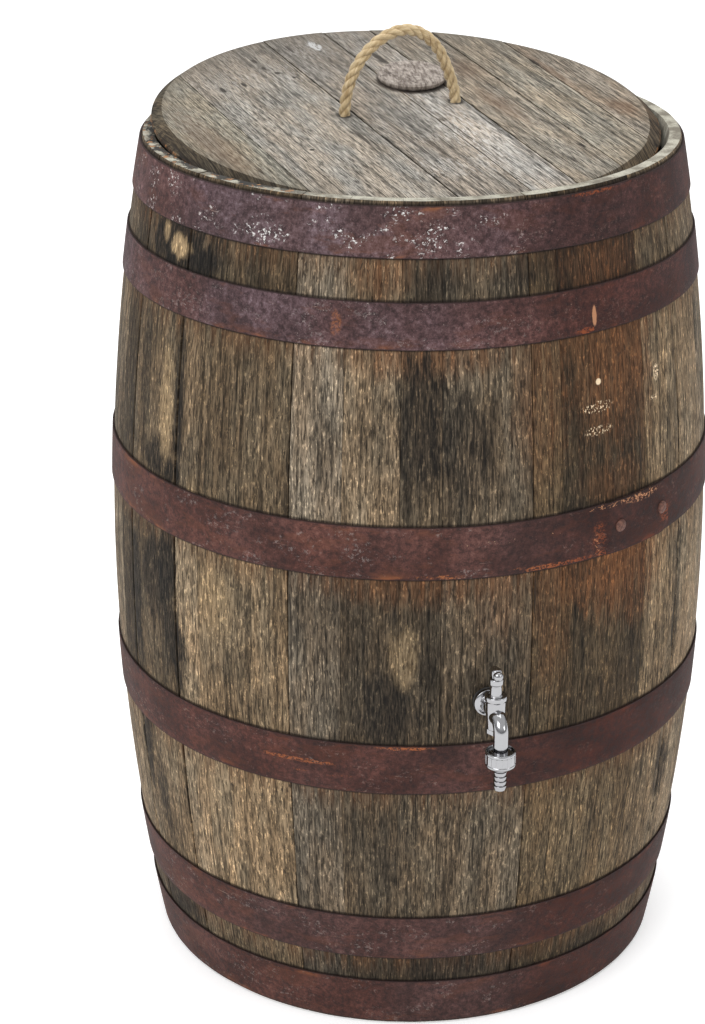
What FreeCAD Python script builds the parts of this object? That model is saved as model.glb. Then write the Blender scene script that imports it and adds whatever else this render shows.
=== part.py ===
"""Oak rain barrel: a hooped cask with a loose lid, a rope handle and a plug tap.

Frame: origin on the barrel's axis at the floor, +Z up, the tap on the -Y side.
Angles called azimuth are measured from -Y towards +X. Lengths are in millimetres.
"""
import FreeCAD, Part
import math
import os

os.makedirs("parts", exist_ok=True)
V = FreeCAD.Vector
Z = V(0, 0, 1)

# ---------------------------------------------------------------- cask
barrel_height = 889.0
head_end_radius = 272.0
bilge_bulge = 42.0
stave_thickness = 25.0
rim_thickness = 12.5
chime_bevel_height = 29.0
croze_inset = 33.0
croze_width = 6.0
croze_depth = 5.0
# widths of the staves at the bilge, going round from azimuth about -85 degrees
stave_widths = [38, 89, 34, 109, 54, 57, 41, 93, 32, 111, 67, 65,
                104, 88, 101, 110, 93, 104, 85, 99, 110, 96, 90, 104]
tap_stave = 8
bung_stave = 19

# ---------------------------------------------------------------- hoops
hoop_thickness = 2.0
# (measured from, distance of the near edge, width, azimuth of the lap's start)
hoops = [("top", 4.0, 47.7, 151.0), ("top", 92.1, 44.5, 212.0), ("above_middle", 82.1, 53.5, 24.5),
         ("below_middle", 97.0, 54.9, 160.0), ("foot", 88.7, 51.9, 226.0), ("foot", 3.0, 54.6, 138.0)]
lap_length = 88.0
lap_corner = 9.0
rivet_inset = 12.0
rivet_radius = 3.0
rivet_head_radius = 6.5
rivet_head_height = 3.0
rivet_foot_gap = 0.8

# ---------------------------------------------------------------- bottom head and bung
head_thickness = 22.0
bottom_board_widths = [96, 118, 104, 121, 83]
bung_radius = 26.0
bung_taper = 2.0
bung_proud = 4.0

# ---------------------------------------------------------------- lid
lid_thickness = 22.0
lid_under_rim = 1.5
lid_edge_depth = 9.0
lid_edge_land = 3.0
lid_top_bevel = 11.0
lid_under_bevel = 13.0
lid_board_widths = [78, 126, 73, 52, 62.5, 60.5, 68]
lid_grain_turn = 11.5
lid_tilt = 6.2
lid_side_tilt = 0.6
lid_shift = (-3.0, 9.0)
lid_centre_above_rim = 15.6

batten_width = 40.0
batten_thickness = 16.0
front_batten_inset = 133.0
back_batten_inset = 43.0
batten_end_inset = 2.0
screw_radius = 2.2
screw_head_radius = 4.6
screw_head_depth = 2.8
screw_bite = 13.0

stopper_head_radius = 36.0
stopper_head_height = 8.0
stopper_shank_radius = 20.0
stopper_place = 76.0
stopper_below = 4.0

rope_diameter = 12.0
rope_seam_inset = 11.0
rope_place = 5.0
rope_arch_height = 74.0
rope_pivot_height = 7.0
rope_hole_clearance = 0.5
part_gap = 0.3
knot_radius = 17.0

# ---------------------------------------------------------------- tap
tap_below_middle = 49.5
shank_radius = 10.4
stave_hole_clearance = 0.3
shank_inside = 20.0
tap_flange_radius = 14.0
tap_flange_thickness = 4.5
seal_thickness = 3.0
lock_nut_size = 30.0
lock_nut_thickness = 7.0
neck_radius = 8.0
housing_out = 31.5
housing_top = 21.0
housing_bottom = -15.0
housing_top_radius = 11.0
housing_bottom_radius = 8.5
plug_top_radius = 7.1
plug_bottom_radius = 5.4
plug_clearance = 0.08
flow_radius = 4.2
stem_radius = 6.0
stem_top = 33.0
collar_radius = 7.0
collar_height = 6.0
pin_radius = 2.5
handle_length = 22.0
handle_radius = 5.2
plug_nut_size = 14.0
plug_nut_thickness = 4.5
spout_out = 51.5
spout_radius = 7.25
spout_bend = 12.0
boss_radius = 12.9
boss_top = -31.0
boss_length = 7.5
nut_top = -29.0
nut_radius = 15.0
nut_clearance = 0.35
nut_lip_thickness = 2.6
nut_lip_clearance = 0.4
washer_thickness = 2.0
tail_flange_thickness = 2.4
tail_neck_radius = 7.0
tail_neck_length = 4.2
barb_crest_radius = 6.55
barb_root_radius = 5.4
barb_pitch = 5.0
barb_land = 1.2
barb_count = 4
tail_bore_radius = 3.8

# ---------------------------------------------------------------- derived
middle = barrel_height / 2.0
bilge_radius = head_end_radius + bilge_bulge
arc_radius = (middle ** 2 + bilge_bulge ** 2) / (2.0 * bilge_bulge)
rim_inner_radius = head_end_radius - rim_thickness
lid_edge_radius = rim_inner_radius - lid_under_rim
tap_height = middle - tap_below_middle
rope_radius = rope_diameter / 2.0


def outer_radius(z):
    """Radius of the staves' outer face at height z."""
    return bilge_radius - arc_radius + math.sqrt(arc_radius ** 2 - (z - middle) ** 2)


def inner_radius(z):
    return outer_radius(z) - stave_thickness


tap_wall = outer_radius(tap_height)
croze_radius = inner_radius(croze_inset) + croze_depth


def save(name, shapes):
    """Write one sub-part; several like pieces go in as separate solids."""
    solids = []
    for s in shapes:
        solids += s.Solids
    for s in solids:
        if not s.isValid() or s.Volume < 1.0:
            print("bad solid in", name)
    shape = solids[0] if len(solids) == 1 else Part.makeCompound(solids)
    shape.exportStep("parts/%s.step" % name)


def arc(p, q, r):
    return Part.Arc(p, q, r).toShape()


def line(p, q):
    return Part.makeLine(p, q)


def chain(points):
    return [line(a, b) for a, b in zip(points[:-1], points[1:])]


def turned(points):
    """Solid of revolution about Z from a closed polygon of (radius, height)."""
    wire = Part.makePolygon([V(r, 0, z) for r, z in points + points[:1]])
    return Part.Face(wire).revolve(V(0, 0, 0), Z, 360)


def rod(radius, start, end):
    axis = end.sub(start)
    return Part.makeCylinder(radius, axis.Length, start, axis)


def cone(r1, r2, start, end):
    axis = end.sub(start)
    return Part.makeCone(r1, r2, axis.Length, start, axis)


def hexagon(size, thickness, start, direction):
    """Hexagonal prism, size across flats."""
    r = size / math.sqrt(3.0)
    points = [V(r * math.cos(math.radians(60 * k)), r * math.sin(math.radians(60 * k)), 0) for k in range(7)]
    prism = Part.Face(Part.makePolygon(points)).extrude(V(0, 0, thickness))
    prism.Placement = FreeCAD.Placement(start, FreeCAD.Rotation(Z, direction))
    return prism


def azimuth(shape, degrees):
    """Turn a shape built on the +X side to an azimuth measured from -Y."""
    turned_shape = shape.copy()
    turned_shape.rotate(V(0, 0, 0), Z, degrees - 90.0)
    return turned_shape


# ---------------------------------------------------------------- cask pieces
def stave_section():
    """Stave's lengthwise section: curved back, croze grooves and chime bevels."""
    h = barrel_height
    low = croze_inset - croze_width / 2.0
    high = croze_inset + croze_width / 2.0
    foot = [V(rim_inner_radius, 0, 0), V(inner_radius(chime_bevel_height), 0, chime_bevel_height),
            V(inner_radius(low), 0, low), V(croze_radius, 0, low), V(croze_radius, 0, high),
            V(inner_radius(high), 0, high)]
    top = [V(p.x, 0, h - p.z) for p in foot]
    edges = [arc(V(head_end_radius, 0, 0), V(bilge_radius, 0, middle), V(head_end_radius, 0, h))]
    edges += [line(V(head_end_radius, 0, h), top[0])] + chain(top)
    edges += [arc(top[-1], V(bilge_radius - stave_thickness, 0, middle), foot[-1])]
    edges += chain(foot[::-1]) + [line(foot[0], V(head_end_radius, 0, 0))]
    return Part.Face(Part.Wire(edges))


def stave_edges():
    """Azimuths of the seams, with the tap's stave centred on the tap."""
    total = float(sum(stave_widths))
    spans = [w / total * 360.0 for w in stave_widths]
    start = -sum(spans[:tap_stave - 1]) - spans[tap_stave - 1] / 2.0
    edges = [start]
    for span in spans:
        edges.append(edges[-1] + span)
    return edges


def bung_azimuth():
    edges = stave_edges()
    return (edges[bung_stave - 1] + edges[bung_stave]) / 2.0


def bung_solid():
    inner = bilge_radius - stave_thickness
    outer = bilge_radius + bung_proud
    plug = cone(bung_radius - bung_taper, bung_radius, V(inner, 0, middle), V(outer, 0, middle))
    return azimuth(plug, bung_azimuth())


def make_staves():
    section = stave_section()
    edges = stave_edges()
    for i in range(len(stave_widths)):
        blank = section.revolve(V(0, 0, 0), Z, edges[i + 1] - edges[i])
        stave = azimuth(blank, edges[i])
        if i + 1 == tap_stave:
            hole = rod(shank_radius + stave_hole_clearance, V(0, -tap_wall - 30, tap_height),
                       V(0, -tap_wall + 60, tap_height))
            stave = stave.cut(hole)
        if i + 1 == bung_stave:
            stave = stave.cut(bung_solid())
        save("stave_%02d" % (i + 1), [stave])


def hoop_span(hoop):
    """Lower and upper edge of a hoop."""
    where, near, width, lap = hoop
    if where == "top":
        return barrel_height - near - width, barrel_height - near
    if where == "above_middle":
        return middle + near, middle + near + width
    if where == "below_middle":
        return middle - near - width, middle - near
    return near, near + width


def band(low, high, inside, outside, degrees):
    """Strip that follows the staves' curve, between two offsets from their face."""
    mid = (low + high) / 2.0
    a = [V(outer_radius(z) + inside, 0, z) for z in (low, mid, high)]
    b = [V(outer_radius(z) + outside, 0, z) for z in (low, mid, high)]
    wire = Part.Wire([arc(*a), line(a[2], b[2]), arc(*b[::-1]), line(b[0], a[0])])
    return Part.Face(wire).revolve(V(0, 0, 0), Z, degrees)


def lap_angle(hoop):
    low, high = hoop_span(hoop)
    return math.degrees(lap_length / outer_radius((low + high) / 2.0))


def lap_plate(hoop):
    """The strap's outer end, lying over the start of the ring, with clipped corners."""
    low, high = hoop_span(hoop)
    angle = lap_angle(hoop)
    plate = band(low, high, hoop_thickness, 2 * hoop_thickness, angle)
    reach = outer_radius(middle) + 20
    for z, side in ((low, 1), (high, -1)):
        for turn, hand in ((0.0, 1), (angle, -1)):
            points = [V(reach, 0, z + side * lap_corner), V(reach, hand * lap_corner, z),
                      V(reach, hand * lap_corner, z - side), V(reach, -hand, z - side),
                      V(reach, -hand, z + side * lap_corner)]
            clip = Part.Face(Part.makePolygon(points + points[:1])).extrude(V(-60, 0, 0))
            clip.rotate(V(0, 0, 0), Z, turn)
            plate = plate.cut(clip)
    return plate


def rivet(hoop, which):
    low, high = hoop_span(hoop)
    z = (low + high) / 2.0
    r = outer_radius(z)
    turn = math.degrees(rivet_inset / r)
    angle = turn if which == 0 else lap_angle(hoop) - turn
    face = r + 2 * hoop_thickness
    shank = rod(rivet_radius, V(r + rivet_foot_gap, 0, z), V(face + 0.2, 0, z))
    ball = (rivet_head_radius ** 2 + rivet_head_height ** 2) / (2 * rivet_head_height)
    dome = Part.makeSphere(ball, V(face + rivet_head_height - ball, 0, z))
    slab = Part.makeBox(50, 50, 50, V(face, -25, z - 25))
    whole = shank.fuse(dome.common(slab)).removeSplitter()
    return azimuth(whole, hoop[3] + angle)


def make_hoops():
    rivets = []
    for i, hoop in enumerate(hoops):
        low, high = hoop_span(hoop)
        ring = band(low, high, 0, hoop_thickness, 360)
        strap = ring.fuse(lap_plate(hoop)).removeSplitter()
        strap = azimuth(strap, hoop[3])
        pair = [rivet(hoop, 0), rivet(hoop, 1)]
        for piece in pair:
            strap = strap.cut(piece)
        rivets += pair
        save("hoop_%d" % (i + 1), [strap])
    save("hoop_rivets", rivets)


def disc_boards(disc, widths, radius):
    """Saw a disc into boards along Y, left to right."""
    scale = 2.0 * radius / sum(widths)
    left = -radius
    boards = []
    for k, width in enumerate(widths):
        right = left + width * scale
        a = left - (20 if k == 0 else 0)
        b = right + (20 if k == len(widths) - 1 else 0)
        slab = Part.makeBox(b - a, 4 * radius, 4 * lid_thickness + 400, V(a, -2 * radius, -300))
        boards.append(disc.common(slab))
        left = right
    return boards


def make_bottom_head():
    low = croze_inset - croze_width / 2.0
    high = croze_inset + croze_width / 2.0
    bevel = (head_thickness - croze_width) / 2.0
    lip = croze_radius - croze_depth - 1.5
    disc = turned([(0, low - bevel), (lip - bevel, low - bevel), (lip, low), (croze_radius, low),
                   (croze_radius, high), (lip, high), (lip - bevel, high + bevel), (0, high + bevel)])
    for i, board in enumerate(disc_boards(disc, bottom_board_widths, croze_radius)):
        save("bottom_board_%d" % (i + 1), [board])


# ---------------------------------------------------------------- lid pieces
# Built flat: U across the boards, V along them, top face at zero, then laid on the rim.
def lay(shape):
    """Put a flat-built lid piece where the lid lies on the barrel."""
    laid = shape.copy()
    laid.rotate(V(0, 0, 0), Z, lid_grain_turn)
    laid.rotate(V(0, 0, 0), V(1, 0, 0), lid_tilt)
    laid.rotate(V(0, 0, 0), V(0, 1, 0), lid_side_tilt)
    laid.translate(V(lid_shift[0], lid_shift[1], barrel_height + lid_centre_above_rim))
    return laid


def lid_seams():
    scale = 2.0 * lid_edge_radius / sum(lid_board_widths)
    seams = [-lid_edge_radius]
    for width in lid_board_widths:
        seams.append(seams[-1] + width * scale)
    return seams


def rope_feet():
    seams = lid_seams()
    return [V(seams[2] - rope_seam_inset, rope_place, 0), V(seams[4] - rope_seam_inset, rope_place, 0)]


def stopper_centre():
    seams = lid_seams()
    return V((seams[3] + seams[4]) / 2.0, stopper_place, 0)


def lid_disc():
    r = lid_edge_radius
    return turned([(0, 0), (r - lid_top_bevel, 0), (r, -lid_edge_depth), (r, -lid_edge_depth - lid_edge_land),
                   (r - lid_under_bevel, -lid_thickness), (0, -lid_thickness)])


def batten_spans():
    """(middle V, low U, high U) of each batten; the ends follow the lid's round edge."""
    spans = []
    for place in (front_batten_inset - lid_edge_radius, lid_edge_radius - back_batten_inset):
        far = abs(place) + batten_width / 2.0
        reach = lid_edge_radius - batten_end_inset
        if place < 0:
            reach = lid_edge_radius - lid_under_bevel - 12.0
        half = math.sqrt(reach ** 2 - far ** 2)
        spans.append((place, -half, half))
    return spans


def make_batten(span):
    place, low, high = span
    return Part.makeBox(high - low, batten_width, batten_thickness,
                        V(low, place - batten_width / 2.0, -lid_thickness - batten_thickness))


def batten_screws(span):
    """One countersunk screw into each board that the batten crosses."""
    place, low, high = span
    seams = lid_seams()
    screws = []
    for a, b in zip(seams[:-1], seams[1:]):
        left = max(a, low)
        right = min(b, high)
        if right - left < 20:
            continue
        u = (left + right) / 2.0
        base = -lid_thickness - batten_thickness
        head = cone(screw_head_radius, screw_radius, V(u, place, base), V(u, place, base + screw_head_depth))
        shank = rod(screw_radius, V(u, place, base + screw_head_depth),
                    V(u, place, -lid_thickness + screw_bite))
        screws.append(head.fuse(shank).removeSplitter())
    return screws


def make_lid():
    battens = [make_batten(span) for span in batten_spans()]
    screws = batten_screws(batten_spans()[0]) + batten_screws(batten_spans()[1])
    centre = stopper_centre()
    below = centre.add(V(0, 0, -lid_thickness - stopper_below))
    shank = rod(stopper_shank_radius, below, centre)
    disc = lid_disc().cut(shank)
    for foot in rope_feet():
        disc = disc.cut(rod(rope_radius + rope_hole_clearance, foot.add(V(0, 0, -60)), foot.add(V(0, 0, 5))))
    for screw in screws:
        disc = disc.cut(screw)
    for i, board in enumerate(disc_boards(disc, lid_board_widths, lid_edge_radius)):
        save("lid_board_%d" % (i + 1), [lay(board)])
    for name, batten in zip(("lid_batten_front", "lid_batten_back"), battens):
        for screw in screws:
            batten = batten.cut(screw)
        save(name, [lay(batten)])
    save("lid_batten_screws", [lay(s) for s in screws])
    head = rod(stopper_head_radius, centre, centre.add(V(0, 0, stopper_head_height)))
    rim = [e for e in head.Edges if abs(e.BoundBox.ZMin - stopper_head_height) < 0.01 and e.Closed
           and e.BoundBox.ZLength < 0.01]
    head = head.makeFillet(1.5, rim)
    save("lid_stopper", [lay(head.fuse(shank).removeSplitter())])


# ---------------------------------------------------------------- rope handle
# The route's points as shares of the half span and of the arch's height.
ROPE_ROUTE = [(-1.00, 0.00), (-0.97, 0.24), (-0.87, 0.50), (-0.68, 0.74), (-0.42, 0.92), (-0.14, 1.01),
              (0.12, 1.01), (0.37, 0.92), (0.61, 0.73), (0.77, 0.50), (0.89, 0.26), (1.00, 0.00)]


def rope_points():
    a, b = rope_feet()
    mid = (a.x + b.x) / 2.0
    half = (b.x - a.x) / 2.0
    return [V(mid + u * half, rope_place, rope_pivot_height + w * rope_arch_height) for u, w in ROPE_ROUTE]


def route_wire(points, names):
    """Straight runs joined by tangent arcs; prints the arcs' radii."""
    edges = []
    at = points[0]
    radii = []
    for before, corner, after in zip(points[:-2], points[1:-1], points[2:]):
        run_in = corner.sub(before)
        run_out = after.sub(corner)
        turn = run_in.getAngle(run_out)
        setback = 0.45 * min(run_in.Length, run_out.Length)
        radii.append(setback / math.tan(turn / 2.0))
        enter = corner.sub(V(run_in).normalize().multiply(setback))
        leave = corner.add(V(run_out).normalize().multiply(setback))
        inward = V(run_out).normalize().sub(V(run_in).normalize()).normalize()
        depth = radii[-1] * (1.0 / math.cos(turn / 2.0) - 1.0)
        edges.append(line(at, enter))
        edges.append(arc(enter, corner.add(inward.multiply(depth)), leave))
        at = leave
    edges.append(line(at, points[-1]))
    print(names, "arc radii", [round(r, 1) for r in radii])
    return Part.Wire(edges)


def tube(wire, radius, start, direction):
    ring = Part.Wire([Part.makeCircle(radius, start, direction)])
    return wire.makePipeShell([ring], True, False)


def make_rope():
    points = rope_points()
    wire = route_wire(points, "rope handle")
    arch = tube(wire, rope_radius, points[0], points[1].sub(points[0]))
    section = math.pi * rope_radius ** 2
    print("rope volume over section times length", round(arch.Volume / (section * wire.Length), 4))
    for end in (points[0], points[-1]):
        arch = arch.fuse(Part.makeSphere(rope_radius, end))
    save("rope_handle", [lay(arch.removeSplitter())])
    ends = []
    for foot in rope_feet():
        top = foot.add(V(0, 0, rope_pivot_height - rope_radius - part_gap))
        centre = foot.add(V(0, 0, -lid_thickness - knot_radius * 0.9))
        seat = Part.makeBox(80, 80, 80, V(foot.x - 40, foot.y - 40, -lid_thickness))
        knot = Part.makeSphere(knot_radius, centre).cut(seat)
        ends.append(lay(rod(rope_radius, centre, top).fuse(knot).removeSplitter()))
    save("rope_knots", ends)


# ---------------------------------------------------------------- tap
# w is the height over the inlet's axis, out is the distance out from the stave's face.
def at(out, w, x=0.0):
    return V(x, -tap_wall - out, tap_height + w)


def cask_body():
    """Everything inside the staves' outer face, for cutting the seal to the curve."""
    section = [arc(V(head_end_radius, 0, 0), V(bilge_radius, 0, middle), V(head_end_radius, 0, barrel_height)),
               line(V(head_end_radius, 0, barrel_height), V(0, 0, barrel_height)),
               line(V(0, 0, barrel_height), V(0, 0, 0)), line(V(0, 0, 0), V(head_end_radius, 0, 0))]
    return Part.Face(Part.Wire(section)).revolve(V(0, 0, 0), Z, 360)


def cask_hollow():
    """Everything inside the staves' inner face."""
    r = bilge_radius - stave_thickness
    ends = [V(inner_radius(croze_inset), 0, croze_inset), V(inner_radius(croze_inset), 0, barrel_height - croze_inset)]
    section = [arc(ends[0], V(r, 0, middle), ends[1]), line(ends[1], V(0, 0, ends[1].z)),
               line(V(0, 0, ends[1].z), V(0, 0, ends[0].z)), line(V(0, 0, ends[0].z), ends[0])]
    return Part.Face(Part.Wire(section)).revolve(V(0, 0, 0), Z, 360)


def ring_along(r_in, r_out, start, end):
    return rod(r_out, start, end).cut(rod(r_in, start, end))


def bent_pipe(radius, drop_to):
    """Spout's round bar: out of the housing, round the bend and down."""
    turn_at = spout_out - spout_bend
    level = rod(radius, at(housing_out, 0), at(turn_at, 0))
    circle = Part.Face(Part.Wire([Part.makeCircle(radius, at(turn_at, 0), V(0, 1, 0))]))
    bend = circle.revolve(at(turn_at, -spout_bend), V(1, 0, 0), 90)
    down = rod(radius, at(spout_out, -spout_bend), at(spout_out, drop_to))
    return level.fuse(bend).fuse(down)


def make_tap_body():
    shank_end = -stave_thickness - shank_inside
    body = rod(shank_radius, at(shank_end, 0), at(seal_thickness, 0))
    flange_face = seal_thickness + tap_flange_thickness
    body = body.fuse(rod(tap_flange_radius, at(seal_thickness, 0), at(flange_face, 0)))
    body = body.fuse(rod(neck_radius, at(flange_face, 0), at(housing_out, 0)))
    body = body.fuse(cone(housing_bottom_radius, housing_top_radius, at(housing_out, housing_bottom),
                          at(housing_out, housing_top)))
    boss_end = boss_top - boss_length
    body = body.fuse(bent_pipe(spout_radius, boss_top))
    body = body.fuse(rod(boss_radius, at(spout_out, boss_top), at(spout_out, boss_end)))
    body = body.cut(cone(plug_bottom_radius, plug_top_radius, at(housing_out, housing_bottom),
                         at(housing_out, housing_top)))
    body = body.cut(rod(flow_radius, at(shank_end, 0), at(housing_out, 0)))
    body = body.cut(bent_pipe(flow_radius, boss_end))
    save("tap_body", [body.removeSplitter()])


def make_tap_seals():
    outer = ring_along(shank_radius, tap_flange_radius, at(-12, 0), at(seal_thickness, 0)).cut(cask_body())
    save("tap_outer_seal", [outer])
    wall = stave_thickness
    inner = ring_along(shank_radius, tap_flange_radius, at(-wall - seal_thickness, 0), at(-wall + 8, 0))
    save("tap_inner_seal", [inner.common(cask_hollow())])
    nut = hexagon(lock_nut_size, lock_nut_thickness, at(-wall - seal_thickness, 0), V(0, 1, 0))
    bore = rod(shank_radius, at(-wall - 40, 0), at(0, 0))
    save("tap_lock_nut", [nut.cut(bore)])


def make_tap_plug():
    gap = plug_clearance
    low = housing_bottom + 0.5
    slope = (plug_top_radius - plug_bottom_radius) / (housing_top - housing_bottom)
    low_radius = plug_bottom_radius + slope * 0.5 - gap
    plug = cone(low_radius, plug_top_radius - gap, at(housing_out, low), at(housing_out, housing_top))
    plug = plug.cut(rod(flow_radius, at(housing_out - 20, 0), at(housing_out + 20, 0)))
    collar_top = stem_top + collar_height
    plug = plug.fuse(rod(stem_radius, at(housing_out, housing_top), at(housing_out, stem_top)))
    plug = plug.fuse(rod(collar_radius, at(housing_out, stem_top), at(housing_out, collar_top)))
    pin_top = collar_top + 2 * handle_radius - 1.5
    plug = plug.fuse(rod(pin_radius, at(housing_out, collar_top), at(housing_out, pin_top)))
    nut_face = housing_bottom - part_gap - 0.05
    stub_end = nut_face - plug_nut_thickness - 1.0
    plug = plug.fuse(rod(pin_radius, at(housing_out, low), at(housing_out, stub_end)))
    save("tap_plug", [plug.removeSplitter()])
    nut = hexagon(plug_nut_size, plug_nut_thickness, at(housing_out, nut_face), V(0, 0, -1))
    save("tap_plug_nut", [nut.cut(rod(pin_radius, at(housing_out, 0), at(housing_out, -60)))])
    bar_level = collar_top + handle_radius - 0.7
    half = handle_length / 2.0 - handle_radius
    bar = rod(handle_radius, at(housing_out - half, bar_level), at(housing_out + half, bar_level))
    for end in (-half, half):
        bar = bar.fuse(Part.makeSphere(handle_radius, at(housing_out + end, bar_level)))
    foot = rod(40, at(housing_out, collar_top - 30), at(housing_out, collar_top))
    pin = rod(pin_radius, at(housing_out, collar_top - 1), at(housing_out, pin_top))
    save("tap_handle", [bar.removeSplitter().cut(foot).cut(pin)])


def make_hose_union():
    boss_end = boss_top - boss_length
    washer_top = boss_end - part_gap
    flange_top = washer_top - washer_thickness
    flange_end = flange_top - tail_flange_thickness
    lip_top = flange_end - part_gap
    nut_end = lip_top - nut_lip_thickness
    nut_bore = boss_radius + nut_clearance
    flange_radius = nut_bore - 1.2
    lip_bore = tail_neck_radius + nut_lip_clearance
    c = at(spout_out, 0)
    nut = turned([(nut_bore, nut_top), (nut_radius - 1.0, nut_top), (nut_radius, nut_top - 1.0),
                  (nut_radius, lip_top), (nut_radius - 1.8, nut_end), (lip_bore, nut_end),
                  (lip_bore, lip_top), (nut_bore, lip_top)])
    nut.translate(c)
    for k in range(18):
        groove = rod(0.7, V(nut_radius + 0.35, 0, nut_top - 1.5), V(nut_radius + 0.35, 0, lip_top + 0.5))
        groove.rotate(V(0, 0, 0), Z, k * 20.0)
        groove.translate(c)
        nut = nut.cut(groove)
    save("hose_union_nut", [nut])
    washer = turned([(tail_bore_radius + 1.5, washer_top), (flange_radius, washer_top),
                     (flange_radius, flange_top), (tail_bore_radius + 1.5, flange_top)])
    washer.translate(c)
    save("hose_washer", [washer])
    neck_end = flange_end - part_gap - nut_lip_thickness - tail_neck_length
    profile = [(tail_bore_radius, flange_top), (flange_radius, flange_top), (flange_radius, flange_end),
               (tail_neck_radius, flange_end), (tail_neck_radius, neck_end), (barb_root_radius, neck_end)]
    z = neck_end - 1.0
    for k in range(barb_count):
        profile += [(barb_root_radius, z), (barb_crest_radius, z), (barb_crest_radius, z - barb_land)]
        z -= barb_pitch
        profile.append((barb_root_radius, z + 0.4))
    profile += [(barb_root_radius, z), (tail_bore_radius, z)]
    tail = turned(profile)
    tail.translate(c)
    save("hose_tail", [tail])


make_staves()
make_hoops()
make_bottom_head()
save("bilge_bung", [bung_solid()])
make_lid()
make_rope()
make_tap_body()
make_tap_seals()
make_tap_plug()
make_hose_union()
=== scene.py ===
import math

import bmesh
import bpy
from mathutils import Matrix, Vector


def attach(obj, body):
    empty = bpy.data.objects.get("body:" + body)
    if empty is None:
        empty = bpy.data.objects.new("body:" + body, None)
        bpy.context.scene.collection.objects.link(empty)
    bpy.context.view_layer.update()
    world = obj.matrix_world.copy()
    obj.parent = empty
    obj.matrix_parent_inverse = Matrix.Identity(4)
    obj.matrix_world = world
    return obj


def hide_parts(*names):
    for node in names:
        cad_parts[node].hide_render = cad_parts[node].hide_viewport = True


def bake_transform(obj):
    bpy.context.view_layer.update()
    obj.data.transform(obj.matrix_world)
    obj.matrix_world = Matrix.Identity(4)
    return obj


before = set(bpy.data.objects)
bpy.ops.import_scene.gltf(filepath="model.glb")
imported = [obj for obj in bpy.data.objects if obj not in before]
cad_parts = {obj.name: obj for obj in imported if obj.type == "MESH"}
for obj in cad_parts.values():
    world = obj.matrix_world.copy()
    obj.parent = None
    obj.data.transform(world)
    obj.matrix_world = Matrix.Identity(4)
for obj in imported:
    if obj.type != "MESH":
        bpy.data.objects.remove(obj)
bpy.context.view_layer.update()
scene = bpy.context.scene

# ---------------- sizes, in metres
HEIGHT, HEAD_RADIUS, BULGE = 0.889, 0.272, 0.042
WALL, RIM_WALL, BEVEL_HEIGHT = 0.025, 0.0125, 0.029
BARE_CHIME = BEVEL_HEIGHT * 0.8
CROZE_INSET, CROZE_WIDTH, CROZE_DEPTH = 0.033, 0.006, 0.005
MIDDLE = HEIGHT / 2
BILGE_RADIUS = HEAD_RADIUS + BULGE
ARC = (MIDDLE ** 2 + BULGE ** 2) / (2 * BULGE)
STAVE_WIDTHS = [38, 89, 34, 109, 54, 57, 41, 93, 32, 111, 67, 65, 104, 88, 101, 110, 93, 104, 85, 99, 110,
    96, 90, 104]
TAP_STAVE = 8
# the gap at every seam, and what is added at a few staves, by their number
SEAM_GAP = 0.0003
WIDE_SEAMS = {2: 0.0028, 1: 0.0022, 4: 0.0008, 8: 0.0007, 11: 0.0012, 17: 0.0015}
# low edge, high edge and the azimuth where the lap starts, from the top hoop down
HOOPS = [(0.8373, 0.885, 151.0), (0.7524, 0.7969, 212.0), (0.5266, 0.5801, 24.5), (0.2926, 0.3475, 160.0),
    (0.0887, 0.1406, 226.0), (0.003, 0.0576, 138.0)]
STRAP = 0.002
LAP = 0.088
RIVET_INSET = 0.012

LID_RADIUS, LID_THICKNESS = 0.258, 0.022
LID_EDGE_DEPTH, LID_EDGE_LAND = 0.009, 0.003
LID_TOP_BEVEL, LID_UNDER_BEVEL = 0.011, 0.013
LID_BOARDS = [78, 126, 73, 52, 62.5, 60.5, 68]
ROPE_PLACE, ROPE_PIVOT, ROPE_ARCH = 0.005, 0.007, 0.074
STOPPER_RADIUS, STOPPER_HEIGHT, STOPPER_PLACE = 0.036, 0.008, 0.076
STOPPER_ACROSS = -LID_RADIUS + (sum(LID_BOARDS[:3]) + LID_BOARDS[3] / 2) * 2 * LID_RADIUS / sum(LID_BOARDS)

TAP_HEIGHT = MIDDLE - 0.0495
# points closer than this are one; a radius under this is on the axis
WELD, ON_AXIS = 0.000004, 1e-7
FLOOR_LEVEL, FLOOR_REACH = -0.0003, 12


def cask_radius(z):
    return BILGE_RADIUS - ARC + math.sqrt(ARC ** 2 - (z - MIDDLE) ** 2)


TAP_WALL = cask_radius(TAP_HEIGHT)
LID_PLACE = (Matrix.Translation((-0.003, 0.009, HEIGHT + 0.0156))
    @ Matrix.Rotation(math.radians(0.6), 4, "Y") @ Matrix.Rotation(math.radians(6.2), 4, "X")
    @ Matrix.Rotation(math.radians(11.5), 4, "Z"))


# ---------------- node helpers
class Value:
    """A node's output; plain arithmetic with it adds math nodes."""

    def __init__(self, net, socket):
        self.net, self.socket = net, socket

    def __add__(self, other):
        return self.net.math("ADD", self, other)

    def __radd__(self, other):
        return self.net.math("ADD", other, self)

    def __sub__(self, other):
        return self.net.math("SUBTRACT", self, other)

    def __rsub__(self, other):
        return self.net.math("SUBTRACT", other, self)

    def __mul__(self, other):
        return self.net.math("MULTIPLY", self, other)

    def __rmul__(self, other):
        return self.net.math("MULTIPLY", other, self)

    def __truediv__(self, other):
        return self.net.math("DIVIDE", self, other)

    def __abs__(self):
        return self.net.math("ABSOLUTE", self)


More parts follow.
